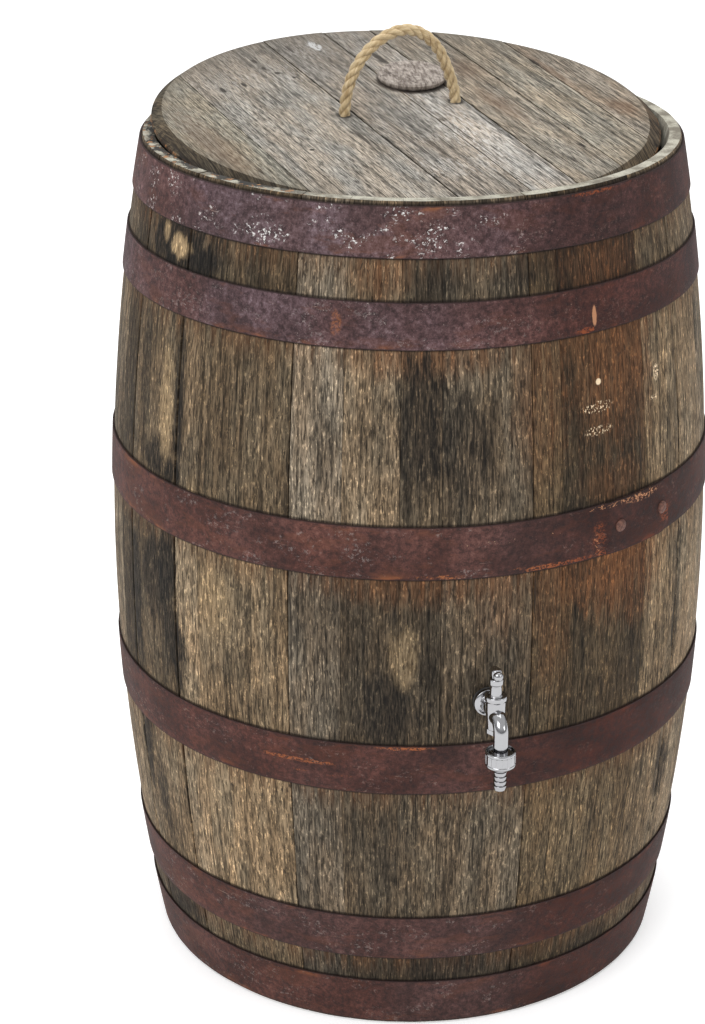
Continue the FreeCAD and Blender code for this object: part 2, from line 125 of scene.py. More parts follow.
class Net:
    """Adds nodes to a tree and joins them, for geometry and for materials."""

    def __init__(self, tree):
        self.tree = tree

    def feed(self, socket, value):
        if isinstance(value, Value):
            self.tree.links.new(value.socket, socket)
        else:
            socket.default_value = value

    def node(self, kind, inputs=None, **settings):
        made = self.tree.nodes.new(kind)
        for name, value in settings.items():
            setattr(made, name, value)
        for key, value in (inputs or {}).items():
            self.feed(made.inputs[key], value)
        return made

    def out(self, kind, inputs=None, output=0, **settings):
        return Value(self, self.node(kind, inputs, **settings).outputs[output])

    def math(self, operation, a, b=0.0, c=0.0):
        return self.out("ShaderNodeMath", {0: a, 1: b, 2: c}, operation=operation)

    def length(self, a, b):
        return self.math("SQRT", a * a + b * b)

    def vector(self, x, y, z):
        return self.out("ShaderNodeCombineXYZ", {0: x, 1: y, 2: z})

    def parts(self, vector):
        node = self.node("ShaderNodeSeparateXYZ", {0: vector})
        return [Value(self, socket) for socket in node.outputs]

    def ramp(self, value, start, end, low=0.0, high=1.0):
        """Smooth step from low at start to high at end."""
        return self.out("ShaderNodeMapRange", {0: value, 1: start, 2: end, 3: low, 4: high},
            interpolation_type="SMOOTHSTEP")

    def noise(self, vector, scale=1.0, detail=3.0, roughness=0.55, distortion=0.0):
        return self.out("ShaderNodeTexNoise", {"Vector": vector, "Scale": scale, "Detail": detail,
            "Roughness": roughness, "Distortion": distortion})

    def stretched(self, x, y, z, detail=3.0, roughness=0.55, distortion=0.0):
        """Noise of unit scale at a place made of three values or numbers."""
        return self.noise(self.vector(x, y, z), 1.0, detail, roughness, distortion)

    def mix(self, factor, a, b, blend="MIX"):
        def rgba(c):
            return c if isinstance(c, Value) else (*c, 1.0)
        return self.out("ShaderNodeMix", {0: factor, 6: rgba(a), 7: rgba(b)}, 2, data_type="RGBA",
            blend_type=blend)

    def shade(self, colour, other):
        """One colour times another."""
        return self.mix(1.0, colour, other, "MULTIPLY")

    def attribute(self, name, output="Vector"):
        return self.out("ShaderNodeAttribute", None, output, attribute_name=name)

    def texture_place(self):
        return self.out("ShaderNodeTexCoord", None, "Object")


def new_material(name):
    material = bpy.data.materials.new(name)
    material.use_nodes = True
    net = Net(material.node_tree)
    material.node_tree.nodes.clear()
    surface = net.node("ShaderNodeBsdfPrincipled")
    out = net.node("ShaderNodeOutputMaterial")
    net.tree.links.new(surface.outputs[0], out.inputs[0])
    return material, net, surface


def coat(net, surface, colour, roughness, **others):
    """Feed the surface shader; other sockets are named with underscores for spaces."""
    for name, value in {"Base Color": colour, "Roughness": roughness, **others}.items():
        net.feed(surface.inputs[name.replace("_", " ")], value)


def relief(net, surface, height, strength, distance):
    net.feed(surface.inputs["Normal"], net.out("ShaderNodeBump",
        {"Height": height, "Strength": strength, "Distance": distance}))


# ---------------- wood
def grain_fields(net, fibres=640.0, length=72.0, ribs=(0.42, 0.12)):
    """Short fibres, straight ribs, flecks, broad patches and checks that all run along the board."""
    across, along, seed = net.parts(net.attribute("grain"))

    def field(wide, long, shift=0.0, detail=4.0, roughness=0.65):
        return net.stretched(across * wide, along * long, seed + shift, detail, roughness)
    g = {"across": across, "along": along, "seed": seed, "fine": field(fibres, length),
        "figure": field(fibres * 0.25, length * 0.2, 2.0), "rib": field(fibres * ribs[0], length * ribs[1],
        5.0, 2.0, 0.5), "fleck": field(fibres * 0.62, length * 1.9, 11.0, 2.0, 0.7),
        "pit": field(fibres * 0.5, length * 1.1, 17.0, 2.0, 0.7),
        "broad": field(26.0, 8.5, 3.0, 4.0, 0.62), "hue": field(34.0, 9.0, 23.0, 3.0, 0.6)}
    line = field(fibres * 0.16, length * 0.04, 9.0, 1.0, 0.4)
    check = net.ramp(abs(line - 0.5), 0.0, 0.009, 1.0, 0.0)
    g["check"] = check * net.ramp(field(30.0, 7.0, 4.0, 2.0), 0.52, 0.62)
    return g


def grained(net, g, colour, contrast=1.0, drift=1.0):
    """Lay the grain fields over a plain colour; drift scales the slow changes of tone."""
    for name, start, end, low, high, share in (("fine", 0.3, 0.7, 0.24, 2.05, contrast),
            ("figure", 0.32, 0.68, 0.8, 1.16, drift), ("rib", 0.36, 0.5, 0.55, 1.1, contrast),
            ("broad", 0.34, 0.66, 0.76, 1.22, drift)):
        dark, light = 1 - (1 - low) * share, 1 + (high - 1) * share
        colour = net.shade(colour, net.mix(net.ramp(g[name], start, end), (dark,) * 3, (light,) * 3))
    hue = net.mix(net.ramp(g["hue"], 0.36, 0.64), (1.05, 1.0, 0.93), (0.96, 1.0, 1.02))
    return net.shade(colour, hue)


def cask_place(net):
    """Azimuth from -180 to 180 degrees, and height, of the point being shaded."""
    around, height = net.parts(net.attribute("cask"))[:2]
    return net.math("WRAP", around, 180.0, -180.0), height


def spot(net, place, size, wobble, soft=0.35):
    """1 inside an uneven oval on the cask: place and size are (degrees of azimuth, height)."""
    around, height = cask_place(net)
    a = (around - place[0]) / size[0]
    b = (height - place[1]) / size[1]
    reach = net.length(a, b)
    return net.ramp(reach + wobble, 1.0 - soft, 1.0 + soft, 1.0, 0.0)


BLACK_PATCHES = [((-65.5, 0.815), (10.5, 0.03), 1.0), ((-58.0, 0.806), (4.0, 0.02), 0.9),
    ((22.0, 0.82), (16.0, 0.03), 0.45), ((-10.0, 0.815), (4.0, 0.022), 0.5),
    ((-68.5, 0.598), (5.0, 0.02), 1.0), ((-64.0, 0.59), (2.6, 0.016), 1.0),
    ((-65.0, 0.49), (3.0, 0.045), 1.0), ((-70.0, 0.47), (4.0, 0.05), 0.85),
    ((-64.0, 0.42), (3.0, 0.04), 0.8), ((-12.0, 0.69), (5.0, 0.065), 0.9),
    ((-4.0, 0.65), (4.0, 0.055), 0.7), ((-18.0, 0.385), (5.0, 0.042), 0.85),
    ((-16.0, 0.23), (4.0, 0.05), 0.45), ((47.5, 0.238), (3.2, 0.032), 0.85),
    ((-62.2, 0.4), (2.4, 0.04), 0.9), ((17.0, 0.56), (3.0, 0.05), 0.5),
    ((-77.0, 0.27), (2.4, 0.07), 0.95), ((-77.0, 0.44), (2.2, 0.07), 0.95),
    ((-62.2, 0.66), (1.4, 0.08), 0.9), ((-74.0, 0.69), (2.0, 0.06), 0.6),
    ((-72.0, 0.22), (2.0, 0.04), 0.7), ((128.0, 0.7), (7.0, 0.04), 0.7),
    ((-155.0, 0.41), (6.0, 0.05), 0.7), ((172.0, 0.24), (8.0, 0.03), 0.6), ((97.0, 0.5), (5.0, 0.02), 0.6),
    ((-5.0, 0.072), (9.0, 0.02), 0.6), ((47.0, 0.44), (1.4, 0.08), 0.8), ((-30.0, 0.66), (2.0, 0.05), 0.5),
    ((59.5, 0.71), (1.5, 0.03), 0.6), ((-27.0, 0.33), (2.5, 0.02), 0.6),
    ((-73.0, 0.072), (8.0, 0.018), 0.8), ((6.0, 0.82), (4.0, 0.016), 0.5),
    ((28.0, 0.06), (6.0, 0.02), 0.5)]
TAN_PATCHES = [((-65.5, 0.816), (2.9, 0.01), 0.85), ((-70.5, 0.826), (1.2, 0.01), 0.6),
    ((-15.0, 0.445), (2.4, 0.03), 0.35), ((-66.0, 0.655), (1.9, 0.055), 0.6),
    ((-58.0, 0.56), (1.5, 0.03), 0.3), ((-52.0, 0.47), (4.0, 0.04), 0.35),
    ((118.0, 0.45), (4.0, 0.03), 0.4)]
RUST_PATCHES = [((26.0, 0.735), (9.0, 0.085), 0.8), ((29.0, 0.505), (9.0, 0.05), 0.95),
    ((20.0, 0.515), (8.0, 0.03), 0.6), ((24.0, 0.82), (9.0, 0.03), 0.45),
    ((10.0, 0.7), (5.0, 0.07), 0.45), ((-12.0, 0.745), (12.0, 0.02), 0.6),
    ((12.0, 0.48), (3.5, 0.07), 0.4), ((-14.0, 0.52), (14.0, 0.02), 0.45),
    ((34.0, 0.7), (2.6, 0.07), 0.4), ((-20.0, 0.82), (5.0, 0.02), 0.5),
    ((2.0, 0.5), (4.0, 0.04), 0.35), ((26.0, 0.6), (8.0, 0.02), 0.35),
    ((152.0, 0.72), (13.0, 0.06), 0.8), ((-146.0, 0.5), (11.0, 0.05), 0.7),
    ((-170.0, 0.27), (16.0, 0.03), 0.5), ((100.0, 0.735), (9.0, 0.03), 0.5)]
CREAM_FLECKS = [((22.6, 0.703), (0.6, 0.003), 0.0), ((22.2, 0.678), (3.4, 0.0055), 0.56),
    ((22.4, 0.655), (3.2, 0.0045), 0.56), ((38.7, 0.692), (0.9, 0.008), 0.5),
    ((37.6, 0.668), (1.0, 0.004), 0.56)]


def stave_wood():
    material, net, surface = new_material("weathered stave oak")
    g = grain_fields(net)
    height = cask_place(net)[1]
    colour = grained(net, g, net.attribute("tone", "Color"))
    wobble = net.stretched(g["across"] * 85.0, g["along"] * 26.0, 5.0, 5.0, 0.75)
    wobble = (wobble - 0.5) * 3.4
    streak = net.ramp(net.stretched(g["across"] * 150.0, g["along"] * 6.0, 8.0, 3.0), 0.35, 0.65)
    for place, size, strength in RUST_PATCHES:
        mask = spot(net, place, size, wobble * 0.6, 0.6) * (0.45 + streak * 0.4)
        rust = net.mix(net.ramp(g["fine"], 0.3, 0.72), (0.045, 0.018, 0.008), (0.225, 0.088, 0.03))
        colour = net.mix(mask * strength, colour, rust)
    for low, high, lap in HOOPS:
        below = net.ramp(height, low - 0.03, low, 0.0, 1.0) * net.math("LESS_THAN", height, low)
        colour = net.mix(below * streak * 0.38, colour, (0.13, 0.055, 0.022))
        # painted shadow: a thin dark line on the wood just under each hoop's low edge and just above its
        # high edge, where the strap shades the stave
        edge = net.ramp(abs(height - (low - 0.0004)), 0.0, 0.0024, 0.9, 0.0)
        upper = net.ramp(abs(height - (high + 0.0006)), 0.0, 0.0024, 0.75, 0.0)
        colour = net.mix(net.math("MAXIMUM", edge, upper), colour, (0.016, 0.011, 0.009))
    for place, size, strength in BLACK_PATCHES:
        mask = spot(net, place, size, wobble * 0.75, 0.3) * net.ramp(g["fine"], 0.38, 0.66, 1.0, 0.62)
        colour = net.mix(mask * strength, colour, (0.007, 0.006, 0.005))
    for place, size, strength in TAN_PATCHES:
        mask = spot(net, place, size, wobble * 0.6, 0.4)
        tan = net.mix(net.ramp(g["fine"], 0.3, 0.7), (0.16, 0.105, 0.055), (0.5, 0.36, 0.2))
        colour = net.mix(mask * strength, colour, tan)
    colour = net.mix(net.ramp(g["fleck"], 0.57, 0.67, 0.0, 0.75), colour,
        net.shade(colour, (2.7, 2.65, 2.55)))
    colour = net.mix(net.ramp(g["pit"], 0.39, 0.3, 0.0, 0.8), colour, (0.022, 0.016, 0.011))
    colour = net.mix(g["check"] * 0.85, colour, (0.012, 0.009, 0.007))
    flake = net.stretched(g["across"] * 520.0, g["along"] * 330.0, 2.0, 2.0, 0.6)
    for place, size, bite in CREAM_FLECKS:
        mask = spot(net, place, size, wobble * 0.25, 0.2) * net.ramp(flake, bite, bite + 0.05)
        colour = net.mix(mask, colour, (0.78, 0.6, 0.4))
    coat(net, surface, colour, net.ramp(g["fine"], 0.3, 0.7, 0.95, 0.78), Specular_IOR_Level=0.22)
    bumps = g["fine"] * 0.9 + g["rib"] * 0.7 + g["fleck"] * 0.4
    relief(net, surface, bumps - g["check"] * 0.9, 0.8, 0.0013)
    return material


def end_grain(name, light, shade):
    """Bare stave ends, with orange splinters at the front left where the lid rubs, and black at the inner
    edge there, partly crud and partly painted shade of the gap where the lid sits below the rim.
    """
    material, net, surface = new_material(name)
    where = net.texture_place()
    spread = net.noise(where, 45.0, 4.0, 0.6)
    pores = net.noise(where, 620.0, 3.0, 0.7)
    colour = net.mix(net.ramp(spread, 0.34, 0.66), shade, light)
    colour = net.mix(net.ramp(pores, 0.52, 0.7, 0.0, 0.7), colour, tuple(c * 0.35 for c in shade))
    around = cask_place(net)[0]
    rubbed = net.ramp(around, -150.0, -120.0) * net.ramp(around, -26.0, -48.0)
    x, y = net.parts(where)[:2]
    inward = net.ramp(net.length(x, y), 0.27, 0.26)
    # partly crud, partly painted shade: black near the rim's inner edge at the front left, where the lid
    # sits below the rim
    crud_and_gap_shade = net.ramp(net.noise(where, 60.0, 4.0, 0.7) + inward * 0.12, 0.5, 0.57)
    colour = net.mix(rubbed * crud_and_gap_shade * 0.94, colour, (0.012, 0.01, 0.009))
    splinter = net.ramp(net.noise(where, 120.0, 3.0, 0.7), 0.575, 0.64)
    colour = net.mix(rubbed * splinter * 0.85, colour, (0.4, 0.2, 0.085))
    coat(net, surface, colour, 0.9)
    relief(net, surface, pores + spread, 0.6, 0.0008)
    return material


def charred_wood():
    material, net, surface = new_material("charred inside")
    where = net.texture_place()
    cells = net.out("ShaderNodeTexVoronoi", {"Vector": where, "Scale": 60.0}, feature="DISTANCE_TO_EDGE")
    soot = net.noise(where, 25.0, 4.0, 0.6)
    colour = net.mix(net.ramp(soot, 0.35, 0.7), (0.012, 0.01, 0.009), (0.05, 0.036, 0.026))
    coat(net, surface, colour, 0.85)
    relief(net, surface, net.ramp(cells, 0.0, 0.15) + soot, 0.5, 0.0015)
    return material


def board_wood(name, base, wear=1.0, fibres=900.0, length=60.0, contrast=1.08, drift=0.5):
    """Grey weathered board in one base colour, turned by each board's own tone."""
    material, net, surface = new_material(name)
    g = grain_fields(net, fibres, length, (0.36, 0.05))
    colour = net.shade(base, net.attribute("tone", "Color"))
    colour = grained(net, g, colour, contrast, drift)
    colour = net.mix(net.ramp(g["fleck"], 0.6, 0.72, 0.0, 0.5), colour, net.shade(colour, (1.7, 1.7, 1.7)))
    colour = net.mix(net.ramp(g["pit"], 0.4, 0.3, 0.0, 0.6), colour, (0.055, 0.046, 0.038))
    colour = net.mix(g["check"] * (0.85 * wear), colour, (0.035, 0.03, 0.026))
    coat(net, surface, colour, 0.9, Specular_IOR_Level=0.2)
    bumps = g["fine"] + g["rib"] * 0.7 + g["fleck"] * 0.4
    relief(net, surface, bumps - g["check"] * 1.2, 0.75 * wear, 0.0012)
    return material, net, surface, colour, g


LID_PITS = [(-0.09, 0.183, 0.0022, 0.006), (-0.089, 0.16, 0.002, 0.0045),
    (-0.081, 0.142, 0.003, 0.0035), (-0.07, 0.124, 0.0018, 0.0035), (-0.128, 0.12, 0.0022, 0.006),
    (-0.154, 0.113, 0.0022, 0.007), (-0.136, -0.072, 0.0025, 0.0025), (0.191, 0.083, 0.003, 0.014),
    (0.12, -0.15, 0.0016, 0.006), (0.04, 0.15, 0.0035, 0.02), (-0.04, 0.205, 0.0016, 0.012)]
LID_BROWN = [(0.214, -0.066, 0.013, 0.022, 0.6), (0.196, 0.06, 0.005, 0.05, 0.5),
    (-0.222, -0.03, 0.016, 0.1, 0.45), (0.098, -0.02, 0.012, 0.05, 0.5), (0.11, 0.09, 0.02, 0.03, 0.4)]
LID_PALE = [(0.03, -0.06, 0.024, 0.11, 0.85), (-0.02, 0.19, 0.03, 0.02, 0.6),
    (-0.03, -0.16, 0.045, 0.025, 0.5), (-0.11, 0.135, 0.07, 0.035, 0.4),
    (0.0, -0.08, 0.03, 0.01, 0.45)]


def lid_wood():
    material, net, surface, colour, g = board_wood("weathered lid oak", (0.226, 0.206, 0.18))
    u, v = net.parts(net.attribute("place"))[:2]
    wobble = (net.stretched(u * 160.0, v * 90.0, 1.0, 4.0, 0.7) - 0.5) * 2.0

    def oval(cu, cv, su, sv, soft=0.25, rough=1.0):
        a = (u - cu) / su
        b = (v - cv) / sv
        reach = net.length(a, b)
        return net.ramp(reach + wobble * rough, 1.0 - soft, 1.0 + soft, 1.0, 0.0)
    for cu, cv, su, sv, strength in LID_BROWN:
        colour = net.mix(oval(cu, cv, su, sv, 0.7) * strength, colour, (0.15, 0.09, 0.055))
    lime = net.ramp(net.stretched(u * 420.0, v * 60.0, 7.0, 4.0, 0.75), 0.5, 0.6)
    for cu, cv, su, sv, strength in LID_PALE:
        colour = net.mix(oval(cu, cv, su, sv, 0.6) * lime * strength, colour, (0.62, 0.59, 0.55))
    for cu, cv, su, sv in LID_PITS:
        colour = net.mix(oval(cu, cv, su, sv, 0.3, 0.5) * 0.92, colour, (0.022, 0.018, 0.016))
    # painted shade: a dark ring round each rope foot, standing for the shaded hole the rope goes down
    # through
    for cu in (-0.067, 0.0585):
        colour = net.mix(oval(cu, ROPE_PLACE, 0.0088, 0.0088, 0.3, 0.4) * 0.85, colour,
            (0.03, 0.026, 0.022))
    shade = oval(STOPPER_ACROSS - 0.0015, STOPPER_PLACE - 0.0025, 0.0375, 0.0375, 0.07, 0.1)
    colour = net.mix(shade * 0.85, colour, (0.045, 0.034, 0.028))
    chip = oval(-0.01, 0.207, 0.0065, 0.013, 0.2, 1.0) * net.ramp(g["fleck"], 0.4, 0.47)
    colour = net.mix(chip, colour, (0.74, 0.74, 0.74))
    colour = net.mix(net.ramp(v, 0.04, 0.22, 0.0, 0.46), colour, (0.1, 0.085, 0.07))
    rim = net.length(u, v)
    colour = net.mix(net.ramp(rim + wobble * 0.004, 0.232, 0.249, 0.0, 0.4), colour, (0.14, 0.12, 0.09))
    net.feed(surface.inputs["Base Color"], colour)
    return material


def lid_edge_wood():
    material, net, surface, colour = board_wood("lid edge with a worn arris", (0.075, 0.06, 0.044))[:4]
    u, v, depth = net.parts(net.attribute("place"))
    broken = net.stretched(u * 70.0, v * 70.0, 3.0, 4.0, 0.7)
    arris = net.ramp(abs(depth + (LID_EDGE_DEPTH + 0.0008)), 0.0002, 0.0017, 0.9, 0.0)
    colour = net.mix(arris * net.ramp(broken, 0.46, 0.56), colour, (0.42, 0.19, 0.075))
    # painted shade: the black on the edge, strongest at the front left and low on the edge, stands for the
    # shaded gap where the lid sits below the rim
    left = net.ramp(u, -0.02, -0.1) * net.ramp(v, 0.06, -0.02)
    black = net.stretched(u * 40.0, v * 40.0, 6.0, 4.0, 0.7) + left * 0.13
    black = net.ramp(black, 0.5, 0.58, 0.0, 0.92)
    colour = net.mix(black * net.ramp(depth, -0.01, -0.003, 1.0, 0.35), colour, (0.018, 0.014, 0.012))
    net.feed(surface.inputs["Base Color"], colour)
    return material


def stopper_wood():
    material, net, surface = new_material("cracked stopper wood")
    where = net.texture_place()
    x, y, z = net.parts(where)
    grain = net.stretched(x * 260.0, y * 70.0, z * 80.0, 5.0, 0.7)
    fine = net.noise(where, 800.0, 3.0, 0.7)
    crack = net.stretched(x * 34.0, y * 90.0, 3.0, 2.0, 0.5, 0.6)
    crack = net.ramp(abs(crack - 0.5), 0.0, 0.01, 0.85, 0.0)
    colour = net.mix(net.ramp(grain, 0.34, 0.66), (0.12, 0.095, 0.08), (0.43, 0.38, 0.335))
    colour = net.mix(net.ramp(fine, 0.56, 0.72, 0.0, 0.6), colour, (0.52, 0.47, 0.43))
    colour = net.mix(crack, colour, (0.045, 0.034, 0.03))
    coat(net, surface, colour, 0.88, Specular_IOR_Level=0.2)
    relief(net, surface, grain + fine * 0.4 - crack, 0.8, 0.0012)
    return material


# ---------------- metal, rope and rubber
HOOP_CREAM = [((22.0, 0.768), (0.5, 0.0095), 0.0), ((32.5, 0.5765), (4.6, 0.005), 0.52),
    ((24.0, 0.5775), (5.0, 0.0026), 0.56), ((21.5, 0.535), (0.8, 0.02), 0.6),
    ((6.0, 0.5615), (14.0, 0.0022), 0.66)]
HOOP_ORANGE = [((20.0, 0.7555), (2.2, 0.003), 0.9), ((6.0, 0.5295), (16.0, 0.0026), 0.75),
    ((40.5, 0.545), (2.0, 0.01), 0.6), ((-34.5, 0.322), (7.0, 0.0022), 0.55),
    ((-30.0, 0.31), (5.0, 0.0016), 0.5), ((-14.0, 0.3455), (5.0, 0.002), 0.8),
    ((24.0, 0.883), (5.0, 0.0022), 0.8), ((22.0, 0.54), (1.4, 0.02), 0.5),
    ((-28.0, 0.775), (0.9, 0.012), 0.35)]


def hoop_rust():
    material, net, surface = new_material("rusted hoop steel")
    along, across, seed = net.parts(net.attribute("strap"))
    around, height = cask_place(net)
    where = net.vector(along, across, seed)
    cloud = net.noise(where, 20.0, 5.0, 0.62)
    mottle = net.noise(where, 150.0, 4.0, 0.72)
    grit = net.noise(where, 520.0, 3.0, 0.75)
    upper = net.ramp(height, 0.6, 0.8)
    zone = net.stretched(along * 5.0, 0.0, seed + 12.0, 2.0)
    deep = net.mix(upper, (0.03, 0.012, 0.01), (0.036, 0.016, 0.016))
    plain = net.mix(upper, (0.078, 0.034, 0.027), (0.106, 0.058, 0.056))
    pale = net.mix(upper, (0.14, 0.074, 0.062), (0.22, 0.15, 0.146))
    colour = net.mix(net.ramp(mottle, 0.34, 0.58), deep, plain)
    colour = net.mix(net.ramp(mottle, 0.52, 0.74, 0.0, 0.8), colour, pale)
    colour = net.mix(net.ramp(grit, 0.44, 0.32, 0.0, 0.75), colour, (0.022, 0.01, 0.009))
    colour = net.mix(net.ramp(grit, 0.57, 0.7, 0.0, 0.7), colour, pale)
    colour = net.shade(colour, net.mix(net.ramp(cloud, 0.38, 0.66), (0.66, 0.6, 0.58), (1.2, 1.22, 1.24)))
    colour = net.shade(colour, net.mix(net.ramp(zone, 0.4, 0.6), (1.08, 0.92, 0.86), (0.94, 1.02, 1.14)))
    wobble = (net.noise(where, 90.0, 4.0, 0.75) - 0.5) * 3.0
    bright = net.stretched(along * 14.0, across * 40.0, seed + 3.0, 4.0, 0.65)
    near = net.ramp(abs(net.attribute("edge", "Fac")), 0.7, 1.0)
    colour = net.mix(net.ramp(bright, 0.57, 0.68) * (near * 0.65), colour, (0.3, 0.1, 0.032))
    colour = net.mix(net.ramp(bright, 0.52, 0.6) * 0.22, colour, (0.135, 0.046, 0.022))
    flake = net.stretched(along * 330.0, across * 420.0, seed, 3.0, 0.75)
    patch = net.stretched(along * 26.0, across * 44.0, seed + 6.0, 3.0, 0.65)
    top = net.ramp(height, 0.8, 0.84) * (net.ramp(around, -95.0, -75.0) * net.ramp(around, 12.0, -6.0))
    chip = net.stretched(along * 210.0, across * 250.0, seed + 8.0, 4.0, 0.8)
    scuff = net.ramp(chip, 0.56, 0.6) * net.ramp(patch, 0.51, 0.59)
    colour = net.mix(scuff * (0.14 + top * 0.8), colour, (0.66, 0.6, 0.57))
    few = net.ramp(flake, 0.64, 0.69) * net.ramp(patch, 0.44, 0.56)
    colour = net.mix(few * (0.22 + upper * 0.45), colour, (0.42, 0.34, 0.31))
    scratch = net.stretched(along * 40.0, across * 900.0, seed + 1.5, 2.0, 0.6, 0.3)
    colour = net.mix(net.ramp(scratch, 0.68, 0.74) * (net.ramp(patch, 0.46, 0.6) * 0.4), colour,
        (0.36, 0.24, 0.2))
    for place, size, strength in HOOP_ORANGE:
        mask = spot(net, place, size, wobble * 0.8, 0.3) * (net.ramp(flake, 0.44, 0.54)
            * net.ramp(bright, 0.4, 0.52))
        colour = net.mix(mask * strength, colour, (0.45, 0.155, 0.05))
    for place, size, bite in HOOP_CREAM:
        mask = spot(net, place, size, wobble * 0.3, 0.2) * net.ramp(flake, bite, bite + 0.05)
        colour = net.mix(mask, colour, (0.78, 0.55, 0.34))
    low = net.ramp(height, 0.58, 0.36) * net.ramp(height, 0.14, 0.3, 0.4, 1.0)
    colour = net.mix(low, colour, net.shade(colour, (0.84, 0.72, 0.66)))
    # partly wear, partly painted light: the top hoop is lighter and greyer at its front left, where the
    # light falls
    worn = net.ramp(height, 0.8, 0.84) * (net.ramp(around, -62.0, -46.0) * net.ramp(around, 2.0, -12.0))
    colour = net.mix(worn, colour, net.shade(colour, (1.16, 1.26, 1.27)))
    colour = net.mix(net.ramp(height, 0.58, 0.78), colour, net.shade(colour, (0.88, 0.87, 0.88)))
    # painted shade: every hoop is darker and browner on its right side, about 20 to 80 degrees of azimuth,
    # away from the light
    colour = net.mix(net.ramp(around, -2.0, 20.0) * net.ramp(around, 100.0, 80.0), colour,
        net.shade(colour, (0.56, 0.38, 0.31)))
    # painted shadow: a dark band along both edges of each strap, part of the dark line where strap meets
    # stave
    rim = net.ramp(abs(net.attribute("edge", "Fac")), 0.945, 0.985)
    colour = net.mix(rim * 0.8, colour, (0.022, 0.011, 0.01))
    coat(net, surface, colour, net.ramp(mottle, 0.3, 0.7, 0.72, 0.88), Specular_IOR_Level=0.3)
    relief(net, surface, mottle * 0.8 + grit * 0.6, 0.75, 0.0009)
    return material


def speckled(name, grain, fade, dark, light, roughness, bump=None, **others):
    """Two colours mixed by one fine noise; bump is the strength and depth of its relief."""
    material, net, surface = new_material(name)
    speck = net.noise(net.texture_place(), *grain)
    coat(net, surface, net.mix(net.ramp(speck, *fade), dark, light), roughness, **others)
    if bump:
        relief(net, surface, speck, *bump)
    return material


def polished_chrome():
    material, net, surface = new_material("polished chrome")
    where = net.texture_place()
    haze = net.noise(where, 60.0, 3.0, 0.5)
    coat(net, surface, (0.36, 0.36, 0.37, 1.0), net.ramp(haze, 0.35, 0.7, 0.07, 0.15), Metallic=1.0)
    return material


def rope_fibre():
    material, net, surface = new_material("golden rope fibre")
    around, along, strand = net.parts(net.attribute("strand"))
    turn = along * 150.0 + around * 3.0
    yarn = net.stretched(turn * 1.3, along * 60.0, strand, 3.0, 0.6)
    hair = net.stretched(turn * 9.0, along * 180.0, strand, 3.0, 0.7)
    colour = net.mix(net.ramp(yarn, 0.3, 0.7), (0.36, 0.245, 0.115), (0.66, 0.52, 0.31))
    colour = net.mix(net.ramp(hair, 0.52, 0.72, 0.0, 0.65), colour, (0.82, 0.71, 0.5))
    colour = net.mix(net.ramp(hair, 0.42, 0.28, 0.0, 0.5), colour, (0.24, 0.155, 0.07))
    coat(net, surface, colour, 0.8, Sheen_Weight=0.25, Sheen_Roughness=0.4)
    relief(net, surface, yarn + hair * 0.8, 0.8, 0.0007)
    return material


STAVE_WOOD = stave_wood()
RIM_WOOD = end_grain("rim end grain", (0.46, 0.44, 0.36), (0.17, 0.15, 0.115))
CHAR = charred_wood()
HOOP_RUST = hoop_rust()
RIVET_RUST = speckled("rusted rivet", (420.0, 4.0, 0.65), (0.3, 0.7), (0.055, 0.02, 0.015),
    (0.17, 0.075, 0.05), 0.65, (0.5, 0.0005), Metallic=0.2)
LID_WOOD = lid_wood()
LID_EDGE = lid_edge_wood()
UNDER_WOOD = board_wood("sawn oak below", (0.25, 0.19, 0.13), 0.7)[0]
STOPPER_WOOD = stopper_wood()
CHROME = polished_chrome()
ZINC = speckled("zinc plated screw", (300.0, 3.0, 0.5), (0.35, 0.7), (0.45, 0.44, 0.4), (0.62, 0.61, 0.58),
    0.38, Metallic=1.0)
ROPE = rope_fibre()
RUBBER = speckled("black seal rubber", (180.0, 3.0, 0.6), (0.4, 0.75), (0.018, 0.018, 0.018),
    (0.055, 0.052, 0.048), 0.7, (0.3, 0.0003))


# ---------------- geometry trees
def new_tree(name, inputs):
    """Geometry tree with a geometry input and named number inputs."""
    tree = bpy.data.node_groups.new(name, "GeometryNodeTree")
    tree.interface.new_socket("Geometry", in_out="OUTPUT", socket_type="NodeSocketGeometry")
    tree.interface.new_socket("Geometry", in_out="INPUT", socket_type="NodeSocketGeometry")
    for label in inputs:
        tree.interface.new_socket(label, in_out="INPUT", socket_type="NodeSocketFloat")
    net = Net(tree)
    start = net.node("NodeGroupInput")
    return tree, net, {socket.name: Value(net, socket) for socket in start.outputs if socket.name}


def end_tree(net, geometry):
    real = net.out("GeometryNodeRealizeInstances", {0: geometry})
    net.feed(net.node("NodeGroupOutput").inputs[0], real)


def painted(net, geometry, material, where=None):
    node = net.node("GeometryNodeSetMaterial", {"Geometry": geometry, "Material": material})
    if where is not None:
        net.feed(node.inputs["Selection"], where)
    return Value(net, node.outputs[0])


def stored(net, geometry, name, value, kind="FLOAT_VECTOR"):
    return net.out("GeometryNodeStoreNamedAttribute", {"Geometry": geometry, "Name": name, "Value": value},
        data_type=kind)


def bar(net, width, height, corner, cuts, count):
    """Straight bar along Z from 0 to 1, with an oblong section whose corners are rounded."""
    section = net.out("GeometryNodeCurvePrimitiveQuadrilateral", {"Width": width, "Height": height})
    section = net.out("GeometryNodeSubdivideCurve", {0: section, "Cuts": cuts})
    section = net.out("GeometryNodeFilletCurve", {"Curve": section, "Radius": corner, "Count": 2},
        mode="POLY")
    line = net.out("GeometryNodeCurvePrimitiveLine", {"Start": (0, 0, 0), "End": (0, 0, 1)})
    line = net.out("GeometryNodeResampleCurve", {0: line, "Count": count})
    solid = net.out("GeometryNodeCurveToMesh", {"Curve": line, "Profile Curve": section, "Fill Caps": True})
    return net.out("GeometryNodeMergeByDistance", {"Geometry": solid, "Distance": WELD})


